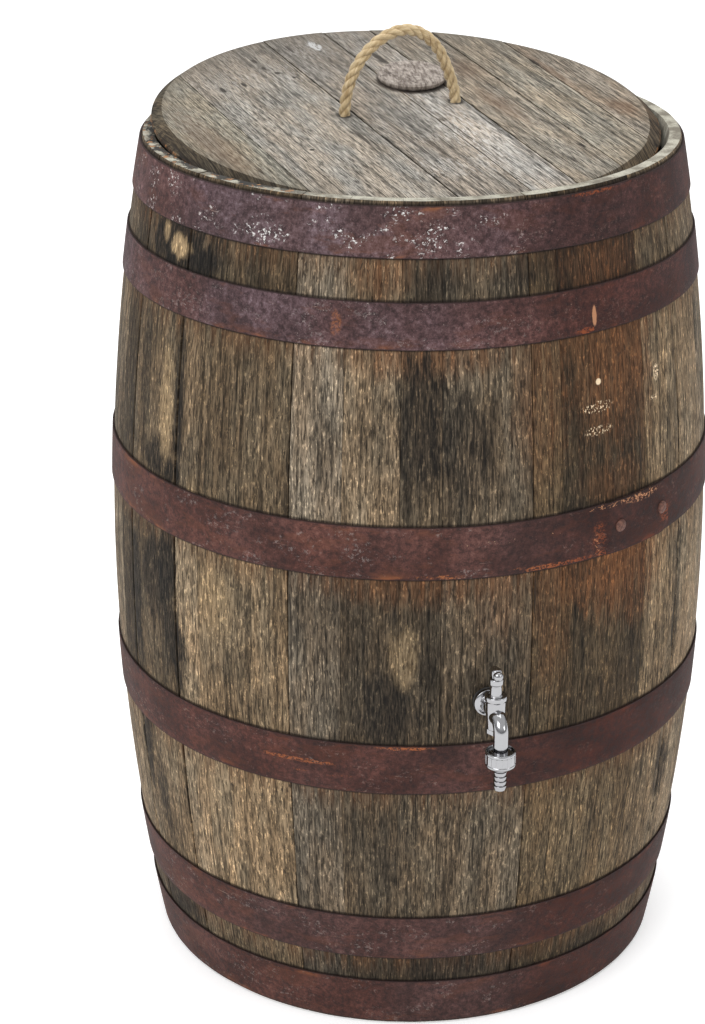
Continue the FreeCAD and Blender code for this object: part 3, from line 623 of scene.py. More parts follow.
def bulged(net, z, height, head_radius, bulge):
    """Radius of the cask's outer face at height z, as nodes."""
    middle = height * 0.5
    arc = (middle * middle + bulge * bulge) / (bulge * 2.0)
    off = z - middle
    drop = arc - net.math("SQRT", arc * arc - off * off)
    return head_radius + bulge - drop


def wrapped(net, angle, radius, z):
    return net.vector(radius * net.math("COSINE", angle), radius * net.math("SINE", angle), z)


def stave_tree():
    """A straight sawn bar wrapped into the cask: bulged, bevelled at the chimes and grooved."""
    tree, net, given = new_tree("stave", ["Azimuth", "Width", "Height", "Head Radius", "Bulge", "Wall",
        "Rim Wall", "Bevel Height", "Seed", "Bright Top", "Bright Middle", "Bright Low", "Warmth"])
    azimuth, wall, height, seed = given["Azimuth"], given["Wall"], given["Height"], given["Seed"]
    blank = bar(net, given["Width"], wall, 0.0005, 7, 190)
    x, y, t = net.parts(net.out("GeometryNodeInputPosition"))
    shift = net.math("SINE", t * math.tau) * (-0.8 / math.tau)
    z = (t + shift) * height
    depth = wall * 0.5 - y
    share = depth / wall
    end = net.math("MINIMUM", z, height - z)
    slope = net.out("ShaderNodeMapRange", {0: end, 1: 0.0, 2: given["Bevel Height"], 3: given["Rim Wall"],
        4: wall})
    groove = net.math("LESS_THAN", abs(end - CROZE_INSET), CROZE_WIDTH / 2)
    groove = groove * CROZE_DEPTH * net.math("GREATER_THAN", share, 0.93)
    ease = net.math("MAXIMUM", 0.0016 - end, 0.0)
    worn = ease * ease * 300.0
    skin = 1.0 - net.math("MINIMUM", share * 4.0, 1.0)
    rough = net.stretched(x * 70.0, z * 9.0, seed, 3.0, 0.6)
    half = x / (given["Width"] * 0.5)
    crown = half * half * 0.00035
    dip = (rough * 0.0008 + crown + worn) * skin
    inset = share * slope - groove
    radius = bulged(net, z, height, given["Head Radius"], given["Bulge"]) - inset - dip
    sway = (net.stretched(z * 5.0, seed, 0.0, 3.0, 0.6) - 0.5) * 0.0011
    sway = sway * abs(half)
    bilge = given["Head Radius"] + given["Bulge"]
    turn = (x + sway) / bilge
    degrees = azimuth + turn * (180 / math.pi)
    angle = (degrees - 90.0) * (math.pi / 180)
    top = net.ramp(z, 0.54, 0.57)
    low = net.ramp(z, 0.33, 0.3)
    bright = net.out("ShaderNodeMix", {0: top, 2: given["Bright Middle"], 3: given["Bright Top"]},
        data_type="FLOAT")
    bright = net.out("ShaderNodeMix", {0: low, 2: bright, 3: given["Bright Low"]}, data_type="FLOAT")
    ends = net.math("MINIMUM", net.ramp(z, 0.085, 0.12, 0.5, 1.0), net.ramp(z, 0.8, 0.76, 0.72, 1.0))
    bright = bright * ends
    tone = net.vector(bright * (0.15 + given["Warmth"] * 0.03), bright * 0.122,
        bright * (0.092 - given["Warmth"] * 0.026))
    solid = stored(net, blank, "grain", net.vector(x + seed * 0.37, z, seed))
    solid = stored(net, solid, "cask", net.vector(degrees, z, share))
    solid = stored(net, solid, "tone", tone)
    solid = painted(net, solid, STAVE_WOOD)
    inside = net.math("GREATER_THAN", share, 0.97) * net.math("GREATER_THAN", end, BARE_CHIME)
    solid = painted(net, solid, CHAR, inside)
    bare = net.math("MAXIMUM", net.math("LESS_THAN", end, 0.0004),
        net.math("GREATER_THAN", share, 0.97) * net.math("LESS_THAN", end, BARE_CHIME))
    solid = painted(net, solid, RIM_WOOD, bare)
    solid = net.out("GeometryNodeSetPosition", {"Geometry": solid,
        "Position": wrapped(net, angle, radius, z)})
    end_tree(net, solid)
    return tree


def hoop_tree():
    """A flat strap wrapped once round the cask; its outer end steps over its start."""
    tree, net, given = new_tree("hoop strap", ["Lap Azimuth", "Low", "High", "Thickness", "Lap Angle",
        "Corner", "Seed"])
    low, high, thick, seed = given["Low"], given["High"], given["Thickness"], given["Seed"]
    width = high - low
    blank = bar(net, thick, width, 0.0005, 5, 640)
    x, y, t = net.parts(net.out("GeometryNodeInputPosition"))
    sweep = math.tau + given["Lap Angle"]
    run = t * sweep
    left = (sweep - run) * BILGE_RADIUS
    begun = run * BILGE_RADIUS
    near = net.math("MINIMUM", left, begun)
    clip = net.math("MAXIMUM", given["Corner"] - near, 0.0)
    half = width * 0.5
    squeeze = (half - clip) / half
    wave = (net.stretched(t * 14.0, seed, 0.0, 2.0) - 0.5) * 0.0012
    fray = (net.stretched(t * 160.0, y * 30.0, seed, 3.0) - 0.5) * 0.0007
    z = low * 0.5 + high * 0.5 + y * squeeze
    z = z + (wave * 0.6 + fray)
    step = net.ramp(run, math.tau - 0.035, math.tau - 0.004) * thick
    dent = net.stretched(t * 60.0, y * 12.0, seed, 2.0) * -0.00045
    radius = bulged(net, z, HEIGHT, HEAD_RADIUS, BULGE) + thick * 0.5 + (x + step)
    radius = radius + dent
    degrees = given["Lap Azimuth"] + run * (180 / math.pi)
    angle = (degrees - 90.0) * (math.pi / 180)
    solid = stored(net, blank, "strap", net.vector(begun, y, seed))
    solid = stored(net, solid, "cask", net.vector(degrees, z, 0.0))
    solid = stored(net, solid, "edge", y / half, "FLOAT")
    solid = painted(net, solid, HOOP_RUST)
    solid = net.out("GeometryNodeSetPosition", {"Geometry": solid,
        "Position": wrapped(net, angle, radius, z)})
    end_tree(net, solid)
    return tree


def rivet_tree():
    """A domed rivet on each given point, facing straight out from the cask's axis."""
    tree, net, given = new_tree("rivets", ["Head Radius", "Head Height"])
    ball = net.out("GeometryNodeMeshUVSphere", {"Segments": 24, "Rings": 14,
        "Radius": given["Head Radius"]})
    squat = given["Head Height"] / given["Head Radius"]
    ball = net.out("GeometryNodeTransform", {"Geometry": ball, "Scale": net.vector(1.0, 1.0, squat)})
    x, y, z = net.parts(net.out("GeometryNodeInputPosition"))
    face = net.out("FunctionNodeAlignRotationToVector", {"Vector": net.vector(x, y, 0.0)}, axis="Z")
    many = net.out("GeometryNodeInstanceOnPoints", {"Points": given["Geometry"], "Instance": ball,
        "Rotation": face})
    real = net.out("GeometryNodeRealizeInstances", {0: many})
    end_tree(net, painted(net, real, RIVET_RUST))
    return tree


def rope_tree():
    """Three strands laid round the path, each a round bar on its own helix."""
    tree, net, given = new_tree("laid rope", ["Strand Radius", "Lay Radius", "Lay Length"])
    path = net.out("GeometryNodeResampleCurve", {"Curve": given["Geometry"], "Length": 0.0014},
        mode="LENGTH")
    length = net.out("GeometryNodeSplineParameter", None, "Length")
    normal = net.out("GeometryNodeInputNormal")
    tangent = net.out("GeometryNodeInputTangent")
    side = net.out("ShaderNodeVectorMath", {0: tangent, 1: normal}, operation="CROSS_PRODUCT")
    strands = net.node("GeometryNodeJoinGeometry")
    section = net.out("GeometryNodeCurvePrimitiveCircle", {"Resolution": 14,
        "Radius": given["Strand Radius"]})
    section = stored(net, section, "round", net.out("GeometryNodeSplineParameter", None, "Factor"), "FLOAT")
    for k in range(3):
        turn = length / given["Lay Length"] * math.tau + k * math.tau / 3
        a = net.out("ShaderNodeVectorMath", {0: normal, 3: net.math("COSINE", turn) * given["Lay Radius"]},
            operation="SCALE")
        b = net.out("ShaderNodeVectorMath", {0: side, 3: net.math("SINE", turn) * given["Lay Radius"]},
            operation="SCALE")
        offset = net.out("ShaderNodeVectorMath", {0: a, 1: b}, operation="ADD")
        marked = stored(net, path, "gone", length, "FLOAT")
        strand = net.out("GeometryNodeSetPosition", {"Geometry": marked, "Offset": offset})
        solid = net.out("GeometryNodeCurveToMesh", {"Curve": strand, "Profile Curve": section,
            "Fill Caps": True})
        gone = net.out("GeometryNodeInputNamedAttribute", {"Name": "gone"}, data_type="FLOAT")
        around = net.out("GeometryNodeInputNamedAttribute", {"Name": "round"}, data_type="FLOAT")
        solid = stored(net, solid, "strand", net.vector(around, gone, float(k * 5)))
        net.feed(strands.inputs[0], solid)
    end_tree(net, painted(net, Value(net, strands.outputs[0]), ROPE))
    return tree


# ---------------- making pieces
def linked(name, data):
    piece = bpy.data.objects.new(name, data)
    scene.collection.objects.link(piece)
    return piece


def smooth(piece, degrees=40):
    mesh = piece.data
    mesh.polygons.foreach_set("use_smooth", [True] * len(mesh.polygons))
    mesh.set_sharp_from_angle(angle=math.radians(degrees))
    return piece


def grown(name, tree, values, base=None, place=None):
    """Run a geometry tree on a mesh or curve and keep the result as a plain mesh."""
    holder = linked(name + " blank", base or bpy.data.meshes.new(name))
    modifier = holder.modifiers.new("grow", "NODES")
    modifier.node_group = tree
    for item in tree.interface.items_tree:
        if item.in_out == "INPUT" and item.name in values:
            modifier[item.identifier] = float(values[item.name])
    bpy.context.view_layer.update()
    ready = holder.evaluated_get(bpy.context.evaluated_depsgraph_get())
    mesh = bpy.data.meshes.new_from_object(ready)
    if place is not None:
        mesh.transform(place)
    bpy.data.objects.remove(holder)
    return smooth(linked(name, mesh))


def stand_for(piece, body, slot, *nodes):
    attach(piece, body)
    if nodes:
        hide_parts(*nodes)
    return piece


def dots(points):
    mesh = bpy.data.meshes.new("dots")
    mesh.from_pydata([tuple(p) for p in points], [], [])
    return mesh


def lathe(name, profile, place, material, steps=64):
    """Turned solid about Z from a closed profile of (radius, height); place moves it."""
    mesh = bpy.data.meshes.new(name)
    bm = bmesh.new()
    rings = []
    for r, z in profile:
        if r < ON_AXIS:
            rings.append([bm.verts.new((0, 0, z))])
        else:
            rings.append([bm.verts.new((r * math.cos(math.tau * k / steps),
                r * math.sin(math.tau * k / steps), z)) for k in range(steps)])
    pairs = list(zip(rings, rings[1:] + rings[:1])) if profile[0][0] > ON_AXIS else list(zip(rings,
        rings[1:]))
    for a, b in pairs:
        for k in range(steps):
            n = (k + 1) % steps
            corners = dict.fromkeys((a[k % len(a)], a[n % len(a)], b[n % len(b)], b[k % len(b)]))
            if len(corners) > 2:
                bm.faces.new(list(corners))
    bmesh.ops.recalc_face_normals(bm, faces=bm.faces)
    bm.to_mesh(mesh)
    bm.free()
    mesh.transform(place)
    mesh.materials.append(material)
    return smooth(linked(name, mesh), 32)


def softened(profile, radius, steps=3):
    """Round each corner of a closed profile of (radius, height) a little."""
    out = []
    n = len(profile)
    for i in range(n):
        p, q, r = (Vector(profile[i - 1]), Vector(profile[i]), Vector(profile[(i + 1) % n]))
        if q.x < ON_AXIS:
            out.append(tuple(q))
            continue
        a, b = p - q, r - q
        cut = min(radius, a.length * 0.45, b.length * 0.45)
        start, end = q + a.normalized() * cut, q + b.normalized() * cut
        for k in range(steps + 1):
            t = k / steps
            point = start * (1 - t) ** 2 + q * 2 * t * (1 - t) + end * t ** 2
            out.append(tuple(point))
    return out


def joined(name, pieces):
    bm = bmesh.new()
    mats = []
    for piece in pieces:
        index = {}
        for k, material in enumerate(piece.data.materials):
            if material not in mats:
                mats.append(material)
            index[k] = mats.index(material)
        before = len(bm.faces)
        bm.from_mesh(piece.data)
        bm.faces.ensure_lookup_table()
        for face in bm.faces[before:]:
            face.material_index = index.get(face.material_index, 0)
    mesh = bpy.data.meshes.new(name)
    bm.to_mesh(mesh)
    bm.free()
    for material in mats:
        mesh.materials.append(material)
    for piece in pieces:
        bpy.data.objects.remove(piece)
    return linked(name, mesh)


# ---------------- camera, light and floor
def set_the_stage():
    camera = bpy.data.cameras.new("camera")
    camera.lens = 93.2
    camera.sensor_width = 36.0
    camera.clip_end = 50.0
    eye = linked("camera", camera)
    eye.location = (-0.6563, -2.5378, 1.5723)
    eye.rotation_euler = (math.radians(67.1), 0.0, math.radians(-13.2))
    scene.camera = eye
    scene.view_settings.view_transform = "Standard"
    world = bpy.data.worlds.new("studio")
    scene.world = world
    world.use_nodes = True
    sky = Net(world.node_tree)
    back = world.node_tree.nodes["Background"]
    level = sky.parts(sky.out("ShaderNodeTexCoord", None, "Generated"))[2]
    sky.feed(back.inputs[0], sky.mix(sky.ramp(level, 0.05, 0.5), (0.42, 0.42, 0.43), (1.0, 1.0, 1.0)))
    back.inputs[1].default_value = 0.87
    for name, size, power, spot_at, target in (("key", 2.4, 70.0, (-2.6, -2.4, 3.2), (0, 0, 0.5)),
            ("fill", 1.2, 14.0, (2.4, -2.6, 1.6), (0, 0, 0.5)),
            ("top", 2.6, 45.0, (0.3, 0.9, 3.4), (0, 0, 0.8))):
        light = bpy.data.lights.new(name, "AREA")
        light.size = size
        light.energy = power
        lamp = linked(name, light)
        lamp.location = spot_at
        lamp.rotation_euler = (Vector(target) - Vector(spot_at)).to_track_quat("-Z", "Y").to_euler()
    mesh = bpy.data.meshes.new("floor")
    corners = [(x * FLOOR_REACH, y * FLOOR_REACH, FLOOR_LEVEL) for x,
        y in ((-1, -1), (1, -1), (1, 1), (-1, 1))]
    mesh.from_pydata(corners, [], [(0, 1, 2, 3)])
    floor = linked("floor", mesh)
    pale, net, surface = new_material("pale floor")
    coat(net, surface, (0.93, 0.93, 0.93, 1.0), 0.9, Emission_Color=(1.0, 1.0, 1.0, 1.0),
        Emission_Strength=0.35)
    mesh.materials.append(pale)


# ---------------- the cask
# brightness above, between and below the two belly hoops, then warmth, stave by stave; mostly each stave's
# own tone, but the low values of staves 1 and 2, at the cask's left edge as the camera sees it, are painted
# shade
STAVE_TONES_AND_SHADE = [(0.24, 0.26, 0.8, 0.6), (0.54, 0.4, 0.66, 0.65), (0.56, 1.02, 1.1, 0.6),
    (0.46, 0.72, 0.92, 0.7), (0.9, 0.54, 0.57, 0.2), (0.76, 0.27, 0.38, 0.5), (0.43, 0.26, 0.44, 0.5),
    (0.5, 0.41, 0.54, 0.4), (0.36, 0.34, 0.42, 0.9), (0.2, 0.23, 0.51, 0.9), (0.72, 0.68, 0.69, 0.7),
    (0.84, 1.0, 0.9, 0.6), (0.8, 0.95, 0.75, 0.4), (0.65, 0.72, 0.85, 0.2), (0.95, 0.8, 0.66, 0.8),
    (0.6, 0.66, 0.92, 0.1), (0.88, 1.0, 0.8, 0.6), (0.52, 0.62, 0.66, 0.3), (0.74, 0.86, 1.0, 0.9),
    (1.0, 0.72, 0.66, 0.2), (0.6, 0.8, 0.86, 0.5), (0.8, 0.66, 0.72, 0.1), (0.92, 0.94, 0.8, 0.7),
    (0.66, 0.8, 1.0, 0.4)]


def build_cask():
    tree = stave_tree()
    total = sum(STAVE_WIDTHS)
    spans = [w / total * 360.0 for w in STAVE_WIDTHS]
    start = -sum(spans[:TAP_STAVE - 1]) - spans[TAP_STAVE - 1] / 2
    for i, span in enumerate(spans):
        extra = WIDE_SEAMS.get(i + 1, 0.0)
        width = math.radians(span) * BILGE_RADIUS - SEAM_GAP - extra
        middle = start + span / 2 - math.degrees(extra / 2 / BILGE_RADIUS)
        top, mid, low, warmth = STAVE_TONES_AND_SHADE[i]
        stave = grown("oak_stave_%02d" % (i + 1), tree, {"Azimuth": middle, "Width": width,
            "Height": HEIGHT, "Head Radius": HEAD_RADIUS, "Bulge": BULGE, "Wall": WALL,
            "Rim Wall": RIM_WALL, "Bevel Height": BEVEL_HEIGHT, "Seed": 1.7 * i + 0.4, "Bright Top": top,
            "Bright Middle": mid, "Bright Low": low, "Warmth": warmth})
        stand_for(stave, "cask", "weathered_oak", "stave_%02d" % (i + 1))
        start += span


def build_hoops():
    tree = hoop_tree()
    rivets = []
    for i, (low, high, lap) in enumerate(HOOPS):
        radius = cask_radius((low + high) / 2)
        hoop = grown("rusted_hoop_%d" % (i + 1), tree, {"Lap Azimuth": lap, "Low": low, "High": high,
            "Thickness": STRAP - 0.00005, "Lap Angle": LAP / radius, "Corner": 0.009 if i == 2 else 0.004,
            "Seed": 2.3 * i + 1.1})
        stand_for(hoop, "cask", "rusted_hoop", "hoop_%d" % (i + 1))
        for run in (RIVET_INSET, LAP - RIVET_INSET):
            angle = math.radians(lap - 90) + run / radius
            out = radius + 2 * STRAP
            rivets.append((out * math.cos(angle), out * math.sin(angle), (low + high) / 2))
    heads = grown("hoop_rivet_heads", rivet_tree(), {"Head Radius": 0.0065, "Head Height": 0.003},
        dots(rivets))
    stand_for(heads, "cask", "rivet_steel", "hoop_rivets")


def paint_plain_pieces():
    """Materials for the pieces that are shown just as the frame gives them."""
    wooden = ["bottom_board_%d" % k for k in range(1, 6)] + ["bilge_bung", "lid_batten_front",
        "lid_batten_back"]
    for material, nodes in ((UNDER_WOOD, wooden), (ZINC, ["lid_batten_screws"]),
            (RUBBER, ["tap_outer_seal", "tap_inner_seal", "hose_washer"]),
            (CHROME, ["tap_lock_nut", "tap_plug_nut"])):
        for node in nodes:
            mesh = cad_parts[node].data
            mesh.materials.clear()
            mesh.materials.append(material)


# ---------------- the lid
def board_outline(a, b, radius, inset):
    """Points round one lid board: seam lines at a and b, joined by arcs of this radius."""
    left = max(a + inset, -radius)
    right = min(b - inset, radius)
    seam, bow = 6, 44
    points = []
    top_right, top_left = math.acos(right / radius), math.acos(left / radius)
    if b < LID_RADIUS - 1e-6:
        y = math.sqrt(radius ** 2 - right ** 2)
        points += [(right, -y + 2 * y * k / seam) for k in range(seam)]
        lower_right = -top_right
    if a > -LID_RADIUS + 1e-6:
        points += [(radius * math.cos(t), radius * math.sin(t)) for t in [top_right
            + (top_left - top_right) * k / bow for k in range(bow)]]
        y = math.sqrt(radius ** 2 - left ** 2)
        points += [(left, y - 2 * y * k / seam) for k in range(seam)]
        low_left, low_right = math.tau - top_left, math.tau - top_right
        if b < LID_RADIUS - 1e-6:
            points += [(radius * math.cos(t), radius * math.sin(t)) for t in [low_left
                + (low_right - low_left) * k / bow for k in range(bow)]]
        else:
            points = [(radius * math.cos(t), radius * math.sin(t)) for t in [-top_left + 2 * top_left * k
                / bow for k in range(bow)]]
            y = math.sqrt(radius ** 2 - left ** 2)
            points += [(left, y - 2 * y * k / seam) for k in range(seam)]
    else:
        points += [(radius * math.cos(t), radius * math.sin(t)) for t in [top_right
            + (math.tau - 2 * top_right) * k / bow for k in range(bow)]]
    return points


BOARD_TONES = [(0.87, 0.86, 0.79), (0.98, 0.97, 0.96), (0.9, 0.88, 0.87), (1.12, 1.12, 1.14),
    (0.9, 0.86, 0.8), (0.94, 0.9, 0.82), (0.88, 0.8, 0.72)]


def build_lid():
    scale = 2 * LID_RADIUS / sum(LID_BOARDS)
    a = -LID_RADIUS
    lift = [0.0, -0.0004, 0.0, -0.0006, -0.0002, 0.0, -0.0005]
    for i, width in enumerate(LID_BOARDS):
        b = a + width * scale
        flush = lift[i]
        levels = [(LID_RADIUS - LID_TOP_BEVEL - 0.0012, flush, 0.0011),
            (LID_RADIUS - LID_TOP_BEVEL, flush - 0.0005, 0.0006),
            (LID_RADIUS - 0.0006, -LID_EDGE_DEPTH, 0.0004), (LID_RADIUS - 0.0003,
            -LID_EDGE_DEPTH - LID_EDGE_LAND, 0.0004), (LID_RADIUS - LID_UNDER_BEVEL,
            -LID_THICKNESS + 0.0004, 0.0005), (LID_RADIUS - LID_UNDER_BEVEL - 0.001, -LID_THICKNESS, 0.001)]
        bm = bmesh.new()
        rings = [[bm.verts.new((x, y, z)) for x, y in board_outline(a, b, r, inset)] for r, z,
            inset in levels]
        bm.faces.new(rings[0])
        bm.faces.new(rings[-1][::-1])
        for upper, lower in zip(rings, rings[1:]):
            for k in range(len(upper)):
                n = (k + 1) % len(upper)
                bm.faces.new((upper[k], lower[k], lower[n], upper[n]))
        bmesh.ops.recalc_face_normals(bm, faces=bm.faces)
        name = "lid_oak_board_%d" % (i + 1)
        mesh = bpy.data.meshes.new(name)
        bm.to_mesh(mesh)
        bm.free()
        for label, values in (("grain", [(v.co.x + 0.31 * i, v.co.y, 3.1 * i) for v in mesh.vertices]),
                ("place", [tuple(v.co) for v in mesh.vertices]),
                ("tone", [BOARD_TONES[i]] * len(mesh.vertices))):
            layer = mesh.attributes.new(label, "FLOAT_VECTOR", "POINT")
            layer.data.foreach_set("vector", [c for value in values for c in value])
        mesh.materials.append(LID_WOOD)
        mesh.materials.append(LID_EDGE)
        for face in mesh.polygons:
            face.material_index = 1 if abs(face.normal.z) < 0.999 and face.center.z < -0.0007 else 0
        mesh.transform(LID_PLACE)
        board = smooth(linked(name, mesh), 25)
        stand_for(board, "lid", "lid_oak", "lid_board_%d" % (i + 1))
        a = b


def build_stopper():
    r, h = STOPPER_RADIUS, STOPPER_HEIGHT
    profile = [(0, h), (r * 0.5, h), (r * 0.8, h), (r * 0.95, h - 0.0004), (r, h - 0.0022), (r, h * 0.45),
        (r * 0.96, 0.0012), (r * 0.9, 0.0), (0.0205, 0.0), (0.02, -0.004),
        (0.0195, -LID_THICKNESS - 0.0035), (0.018, -LID_THICKNESS - 0.004), (0, -LID_THICKNESS - 0.004)]
    tilt = Matrix.Rotation(math.radians(2.2), 4, Vector((0.6, -0.8, 0.0)))
    place = LID_PLACE @ Matrix.Translation((STOPPER_ACROSS, STOPPER_PLACE, 0.0006)) @ tilt
    stopper = lathe("round_stopper", profile, place, STOPPER_WOOD, 72)
    stand_for(stopper, "lid", "stopper_wood", "lid_stopper")


# ---------------- the rope
ROPE_ROUTE = [(-1.0, 0.0), (-0.97, 0.24), (-0.87, 0.5), (-0.68, 0.74), (-0.42, 0.92), (-0.14, 1.01),
    (0.12, 1.01), (0.37, 0.92), (0.61, 0.73), (0.77, 0.5), (0.89, 0.26), (1.0, 0.0)]


def rope_path(points):
    curve = bpy.data.curves.new("rope path", "CURVE")
    curve.dimensions = "3D"
    spline = curve.splines.new("NURBS")
    spline.points.add(len(points) - 1)
    for point, where in zip(spline.points, points):
        point.co = (*where, 1.0)
    spline.order_u = 3
    spline.use_endpoint_u = True
    spline.resolution_u = 12
    return curve


def build_rope():
    scale = 2 * LID_RADIUS / sum(LID_BOARDS)
    seams = [-LID_RADIUS + sum(LID_BOARDS[:k]) * scale for k in range(8)]
    feet = (seams[2] - 0.011, seams[4] - 0.011)
    mid, half = (feet[0] + feet[1]) / 2, (feet[1] - feet[0]) / 2
    arch = [(mid + u * half, ROPE_PLACE, ROPE_PIVOT + w * ROPE_ARCH) for u, w in ROPE_ROUTE]
    down = [(feet[0], ROPE_PLACE, z) for z in (-0.022, -0.008)]
    back = [(feet[1], ROPE_PLACE, z) for z in (-0.008, -0.022)]
    tree = rope_tree()
    lay = {"Strand Radius": 0.003, "Lay Radius": 0.00305, "Lay Length": 0.034}
    rope = grown("rope_handle_strands", tree, lay, rope_path(down + arch + back), LID_PLACE)
    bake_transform(rope)
    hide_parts("rope_handle")
    knots, knot_size, knot_steps = [], 0.0033, 24
    for foot in feet:
        loop = []
        for k in range(knot_steps + 1):
            t = math.tau * k / knot_steps * 0.96
            loop.append((foot + knot_size * (math.sin(t) + 2 * math.sin(2 * t)),
                ROPE_PLACE + knot_size * (math.cos(t) - 2 * math.cos(2 * t)),
                -LID_THICKNESS - 0.0105 + 0.0045 * math.sin(3 * t)))
        knots.append(grown("knot", tree, {**lay, "Strand Radius": 0.0024, "Lay Radius": 0.0024},
            rope_path(loop), LID_PLACE))
    pair = smooth(joined("rope_knots_below", knots))
    stand_for(pair, "lid", "rope", "rope_knots")


# ---------------- the tap
def tap_at(out, height):
    return Matrix.Translation((0.0, -TAP_WALL - out, TAP_HEIGHT + height))


HOUSING_OUT, SPOUT_OUT, SPOUT_BEND = 0.0315, 0.0515, 0.012
LEVEL = Matrix.Rotation(math.radians(90), 4, "X")


def bent_spout():
    """Round bar out of the housing, round a bend and down to the screwed end."""
    steps, ring = 22, 36
    line = [(HOUSING_OUT, 0.0)]
    turn_at = SPOUT_OUT - SPOUT_BEND
    for k in range(steps + 1):
        t = math.pi / 2 * k / steps
        line.append((turn_at + SPOUT_BEND * math.sin(t), -SPOUT_BEND + SPOUT_BEND * math.cos(t)))
    line.append((SPOUT_OUT, -0.0312))
    bm = bmesh.new()
    rings = []
    for k, (out, h) in enumerate(line):
        before, after = line[max(k - 1, 0)], line[min(k + 1, len(line) - 1)]
        along = Vector((0, -(after[0] - before[0]), after[1] - before[1])).normalized()
        side = Vector((1, 0, 0))
        up = side.cross(along)
        centre = Vector((0, -TAP_WALL - out, TAP_HEIGHT + h))
        swell = 0.00725 + 0.0009 * math.exp(-((k - 1) / 5.0) ** 2)
        rings.append([bm.verts.new(centre + (side * math.cos(math.tau * j / ring) + up
            * math.sin(math.tau * j / ring)) * swell) for j in range(ring)])
    for a, b in zip(rings, rings[1:]):
        for j in range(ring):
            n = (j + 1) % ring
            bm.faces.new((a[j], a[n], b[n], b[j]))
    bm.faces.new(rings[0][::-1])
    bm.faces.new(rings[-1])
    bmesh.ops.recalc_face_normals(bm, faces=bm.faces)
    mesh = bpy.data.meshes.new("bent spout")
    bm.to_mesh(mesh)
    bm.free()
    mesh.materials.append(CHROME)
    return linked("bent spout", mesh)


def build_tap():
    wall_piece = lathe("flange", softened([(0, 0.045), (0.0098, 0.045), (0.0104, 0.0442), (0.0104, -0.003),
        (0.014, -0.003), (0.014, -0.0068), (0.0125, -0.0075), (0.0092, -0.0082), (0.008, -0.0105),
        (0.008, -0.0315), (0, -0.0315)], 0.0005), tap_at(0, 0)
        @ Matrix.Rotation(math.radians(-90), 4, "X"), CHROME)
    housing = lathe("housing", softened([(0.0072, 0.021), (0.0104, 0.021), (0.011, 0.0203),
        (0.011, 0.0165), (0.0101, 0.015), (0.0098, 0.004), (0.0088, -0.01), (0.0086, -0.0142),
        (0.008, -0.015), (0.0056, -0.015)], 0.0006), tap_at(HOUSING_OUT, 0), CHROME)
    boss = lathe("boss", softened([(0.0042, -0.031), (0.0122, -0.031), (0.0129, -0.0317), (0.0129, -0.0378),
        (0.0122, -0.0385), (0.0042, -0.0385)], 0.0003), tap_at(SPOUT_OUT, 0), CHROME)
    body = smooth(joined("chrome_tap_body", [wall_piece, housing, bent_spout(), boss]), 32)
    stand_for(body, "cask", "tap_chrome", "tap_body")
    plug = lathe("chrome_tap_plug", softened([(0, -0.0208), (0.0025, -0.0208), (0.0025, -0.0147),
        (0.0053, -0.0147), (0.007, 0.0205), (0.006, 0.0214), (0.0058, 0.0235), (0.0056, 0.03),
        (0.0062, 0.0325), (0.007, 0.0332), (0.007, 0.0382), (0.0062, 0.039), (0.0025, 0.039),
        (0.0025, 0.0478), (0, 0.0478)], 0.0004), tap_at(HOUSING_OUT, 0), CHROME)
    stand_for(plug, "tap_plug", "tap_chrome", "tap_plug")
    bar_level = 0.039 + 0.0052 - 0.0007
    ends = [(0, 0.011), (0.0018, 0.0107), (0.0034, 0.0099), (0.0045, 0.0086), (0.005, 0.007),
        (0.0046, 0.0055), (0.0042, 0.0035)]
    profile = ends + [(0.0042, 0.0)] + [(r, -z) for r, z in ends[::-1]]
    grip = lathe("chrome_tap_handle", profile, tap_at(HOUSING_OUT, bar_level) @ LEVEL, CHROME, 48)
    hub = lathe("hub", softened([(0, 0.0053), (0.0035, 0.0053), (0.005, 0.004), (0.0054, 0.0),
        (0.005, -0.004), (0.004, -0.0045), (0, -0.0045)], 0.0008), tap_at(HOUSING_OUT, bar_level),
        CHROME, 40)
    handle = smooth(joined("chrome_tap_handle_bar", [grip, hub]), 35)
    stand_for(handle, "tap_plug", "tap_chrome", "tap_handle")
    nut = lathe("chrome_union_nut", softened([(0.01325, -0.029), (0.014, -0.029), (0.015, -0.03),
        (0.015, -0.0318), (0.0144, -0.0324), (0.0144, -0.0418), (0.015, -0.0424), (0.0148, -0.0442),
        (0.0132, -0.0461), (0.0074, -0.0461), (0.0074, -0.0435), (0.01325, -0.0435)], 0.00035),
        tap_at(SPOUT_OUT, 0), CHROME, 96)
    grips = grown("nut grips", flute_tree(), {"Count": 18, "Ring Radius": 0.0138, "Flute Radius": 0.001,
        "Flute Length": 0.0092}, None, tap_at(SPOUT_OUT, -0.0371))
    nut = smooth(joined("chrome_union_nut_gripped", [nut, grips]), 35)
    stand_for(nut, "union_nut", "tap_chrome", "hose_union_nut")
    tail = grown("chrome_hose_tail", barb_tree(), {"Crest Radius": 0.00655, "Root Radius": 0.0054,
        "Bore Radius": 0.0038, "Start": 0.0513, "Pitch": 0.005}, None, tap_at(SPOUT_OUT, 0))
    stand_for(tail, "hose_tail", "tap_chrome", "hose_tail")


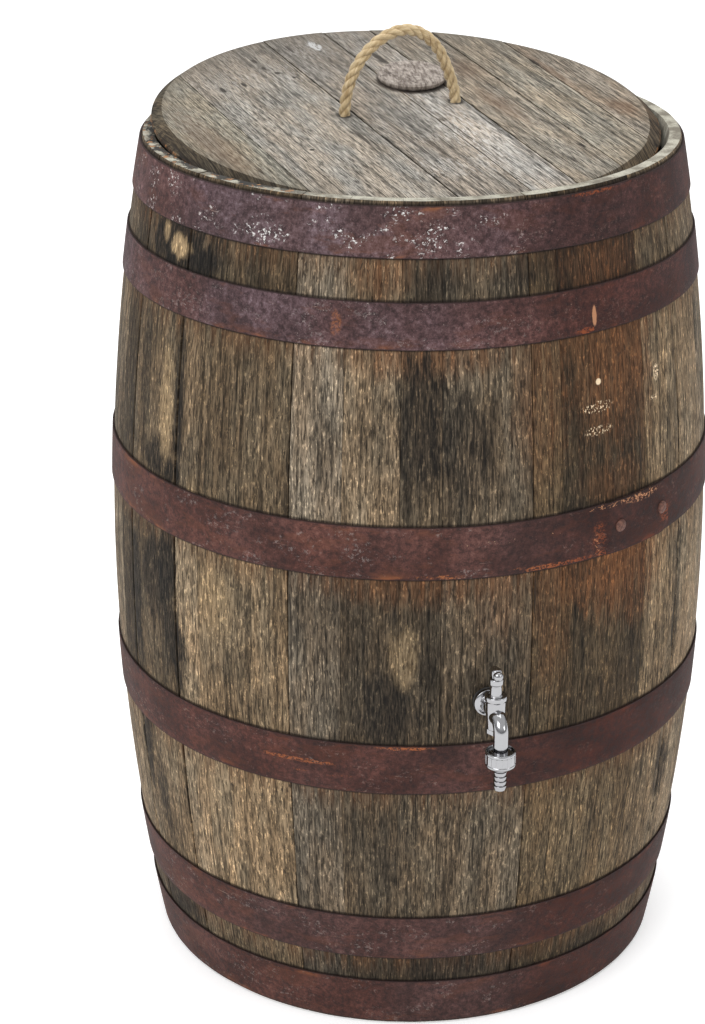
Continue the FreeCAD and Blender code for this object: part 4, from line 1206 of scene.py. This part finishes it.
def flute_tree():
    """Round ribs set in a ring, for the grip of the union nut."""
    tree, net, given = new_tree("grip ribs", ["Count", "Ring Radius", "Flute Radius", "Flute Length"])
    ring = net.out("GeometryNodeCurvePrimitiveCircle", {"Radius": given["Ring Radius"],
        "Resolution": given["Count"]})
    rib = net.out("GeometryNodeMeshCylinder", {"Vertices": 12, "Radius": given["Flute Radius"],
        "Depth": given["Flute Length"]})
    many = net.out("GeometryNodeInstanceOnPoints", {"Points": ring, "Instance": rib})
    real = net.out("GeometryNodeRealizeInstances", {0: many})
    end_tree(net, painted(net, real, CHROME))
    return tree


def barb_tree():
    """Hose tail turned about Z: a flange, a neck and four ridges that lean back, with a bore."""
    tree, net, given = new_tree("barbed tail", ["Crest Radius", "Root Radius", "Bore Radius", "Start",
        "Pitch"])
    start, pitch = given["Start"], given["Pitch"]
    crest, root, bore = given["Crest Radius"], given["Root Radius"], given["Bore Radius"]
    spots = [(bore, -0.0408), (0.0118, -0.0408), (0.01205, -0.0411), (0.01205, -0.0429), (0.0118, -0.0432),
        (0.007, -0.0432), (0.007, -0.05), (root, -0.0503)]
    level = start * -1.0
    for k in range(4):
        z = level - pitch * float(k)
        spots += [(root, z + 0.0001), (crest, z - 0.0002), (crest, z - 0.0012), (root, z - 0.0046)]
    last = level - pitch * 4.0
    spots += [(root, last), (bore, last)]
    count = len(spots)
    steps = 56
    grid = net.out("GeometryNodeMeshGrid", {"Vertices X": count + 1, "Vertices Y": steps + 1})
    index = net.out("GeometryNodeInputIndex")
    row = net.math("FLOOR", index / float(steps + 1))
    column = net.math("MODULO", index, float(steps + 1))
    for k, (r, z) in enumerate(spots + [spots[0]]):
        here = net.math("COMPARE", row, float(k), 0.5)
        if k == 0:
            radius, height = (here * r, here * z)
        else:
            radius = radius + here * r
            height = height + here * z
    angle = column * (math.tau / steps)
    solid = net.out("GeometryNodeSetPosition", {"Geometry": grid,
        "Position": wrapped(net, angle, radius, height)})
    solid = net.out("GeometryNodeMergeByDistance", {"Geometry": solid, "Distance": WELD})
    end_tree(net, painted(net, solid, CHROME))
    return tree


set_the_stage()
build_cask()
build_hoops()
paint_plain_pieces()
build_lid()
build_stopper()
build_rope()
build_tap()
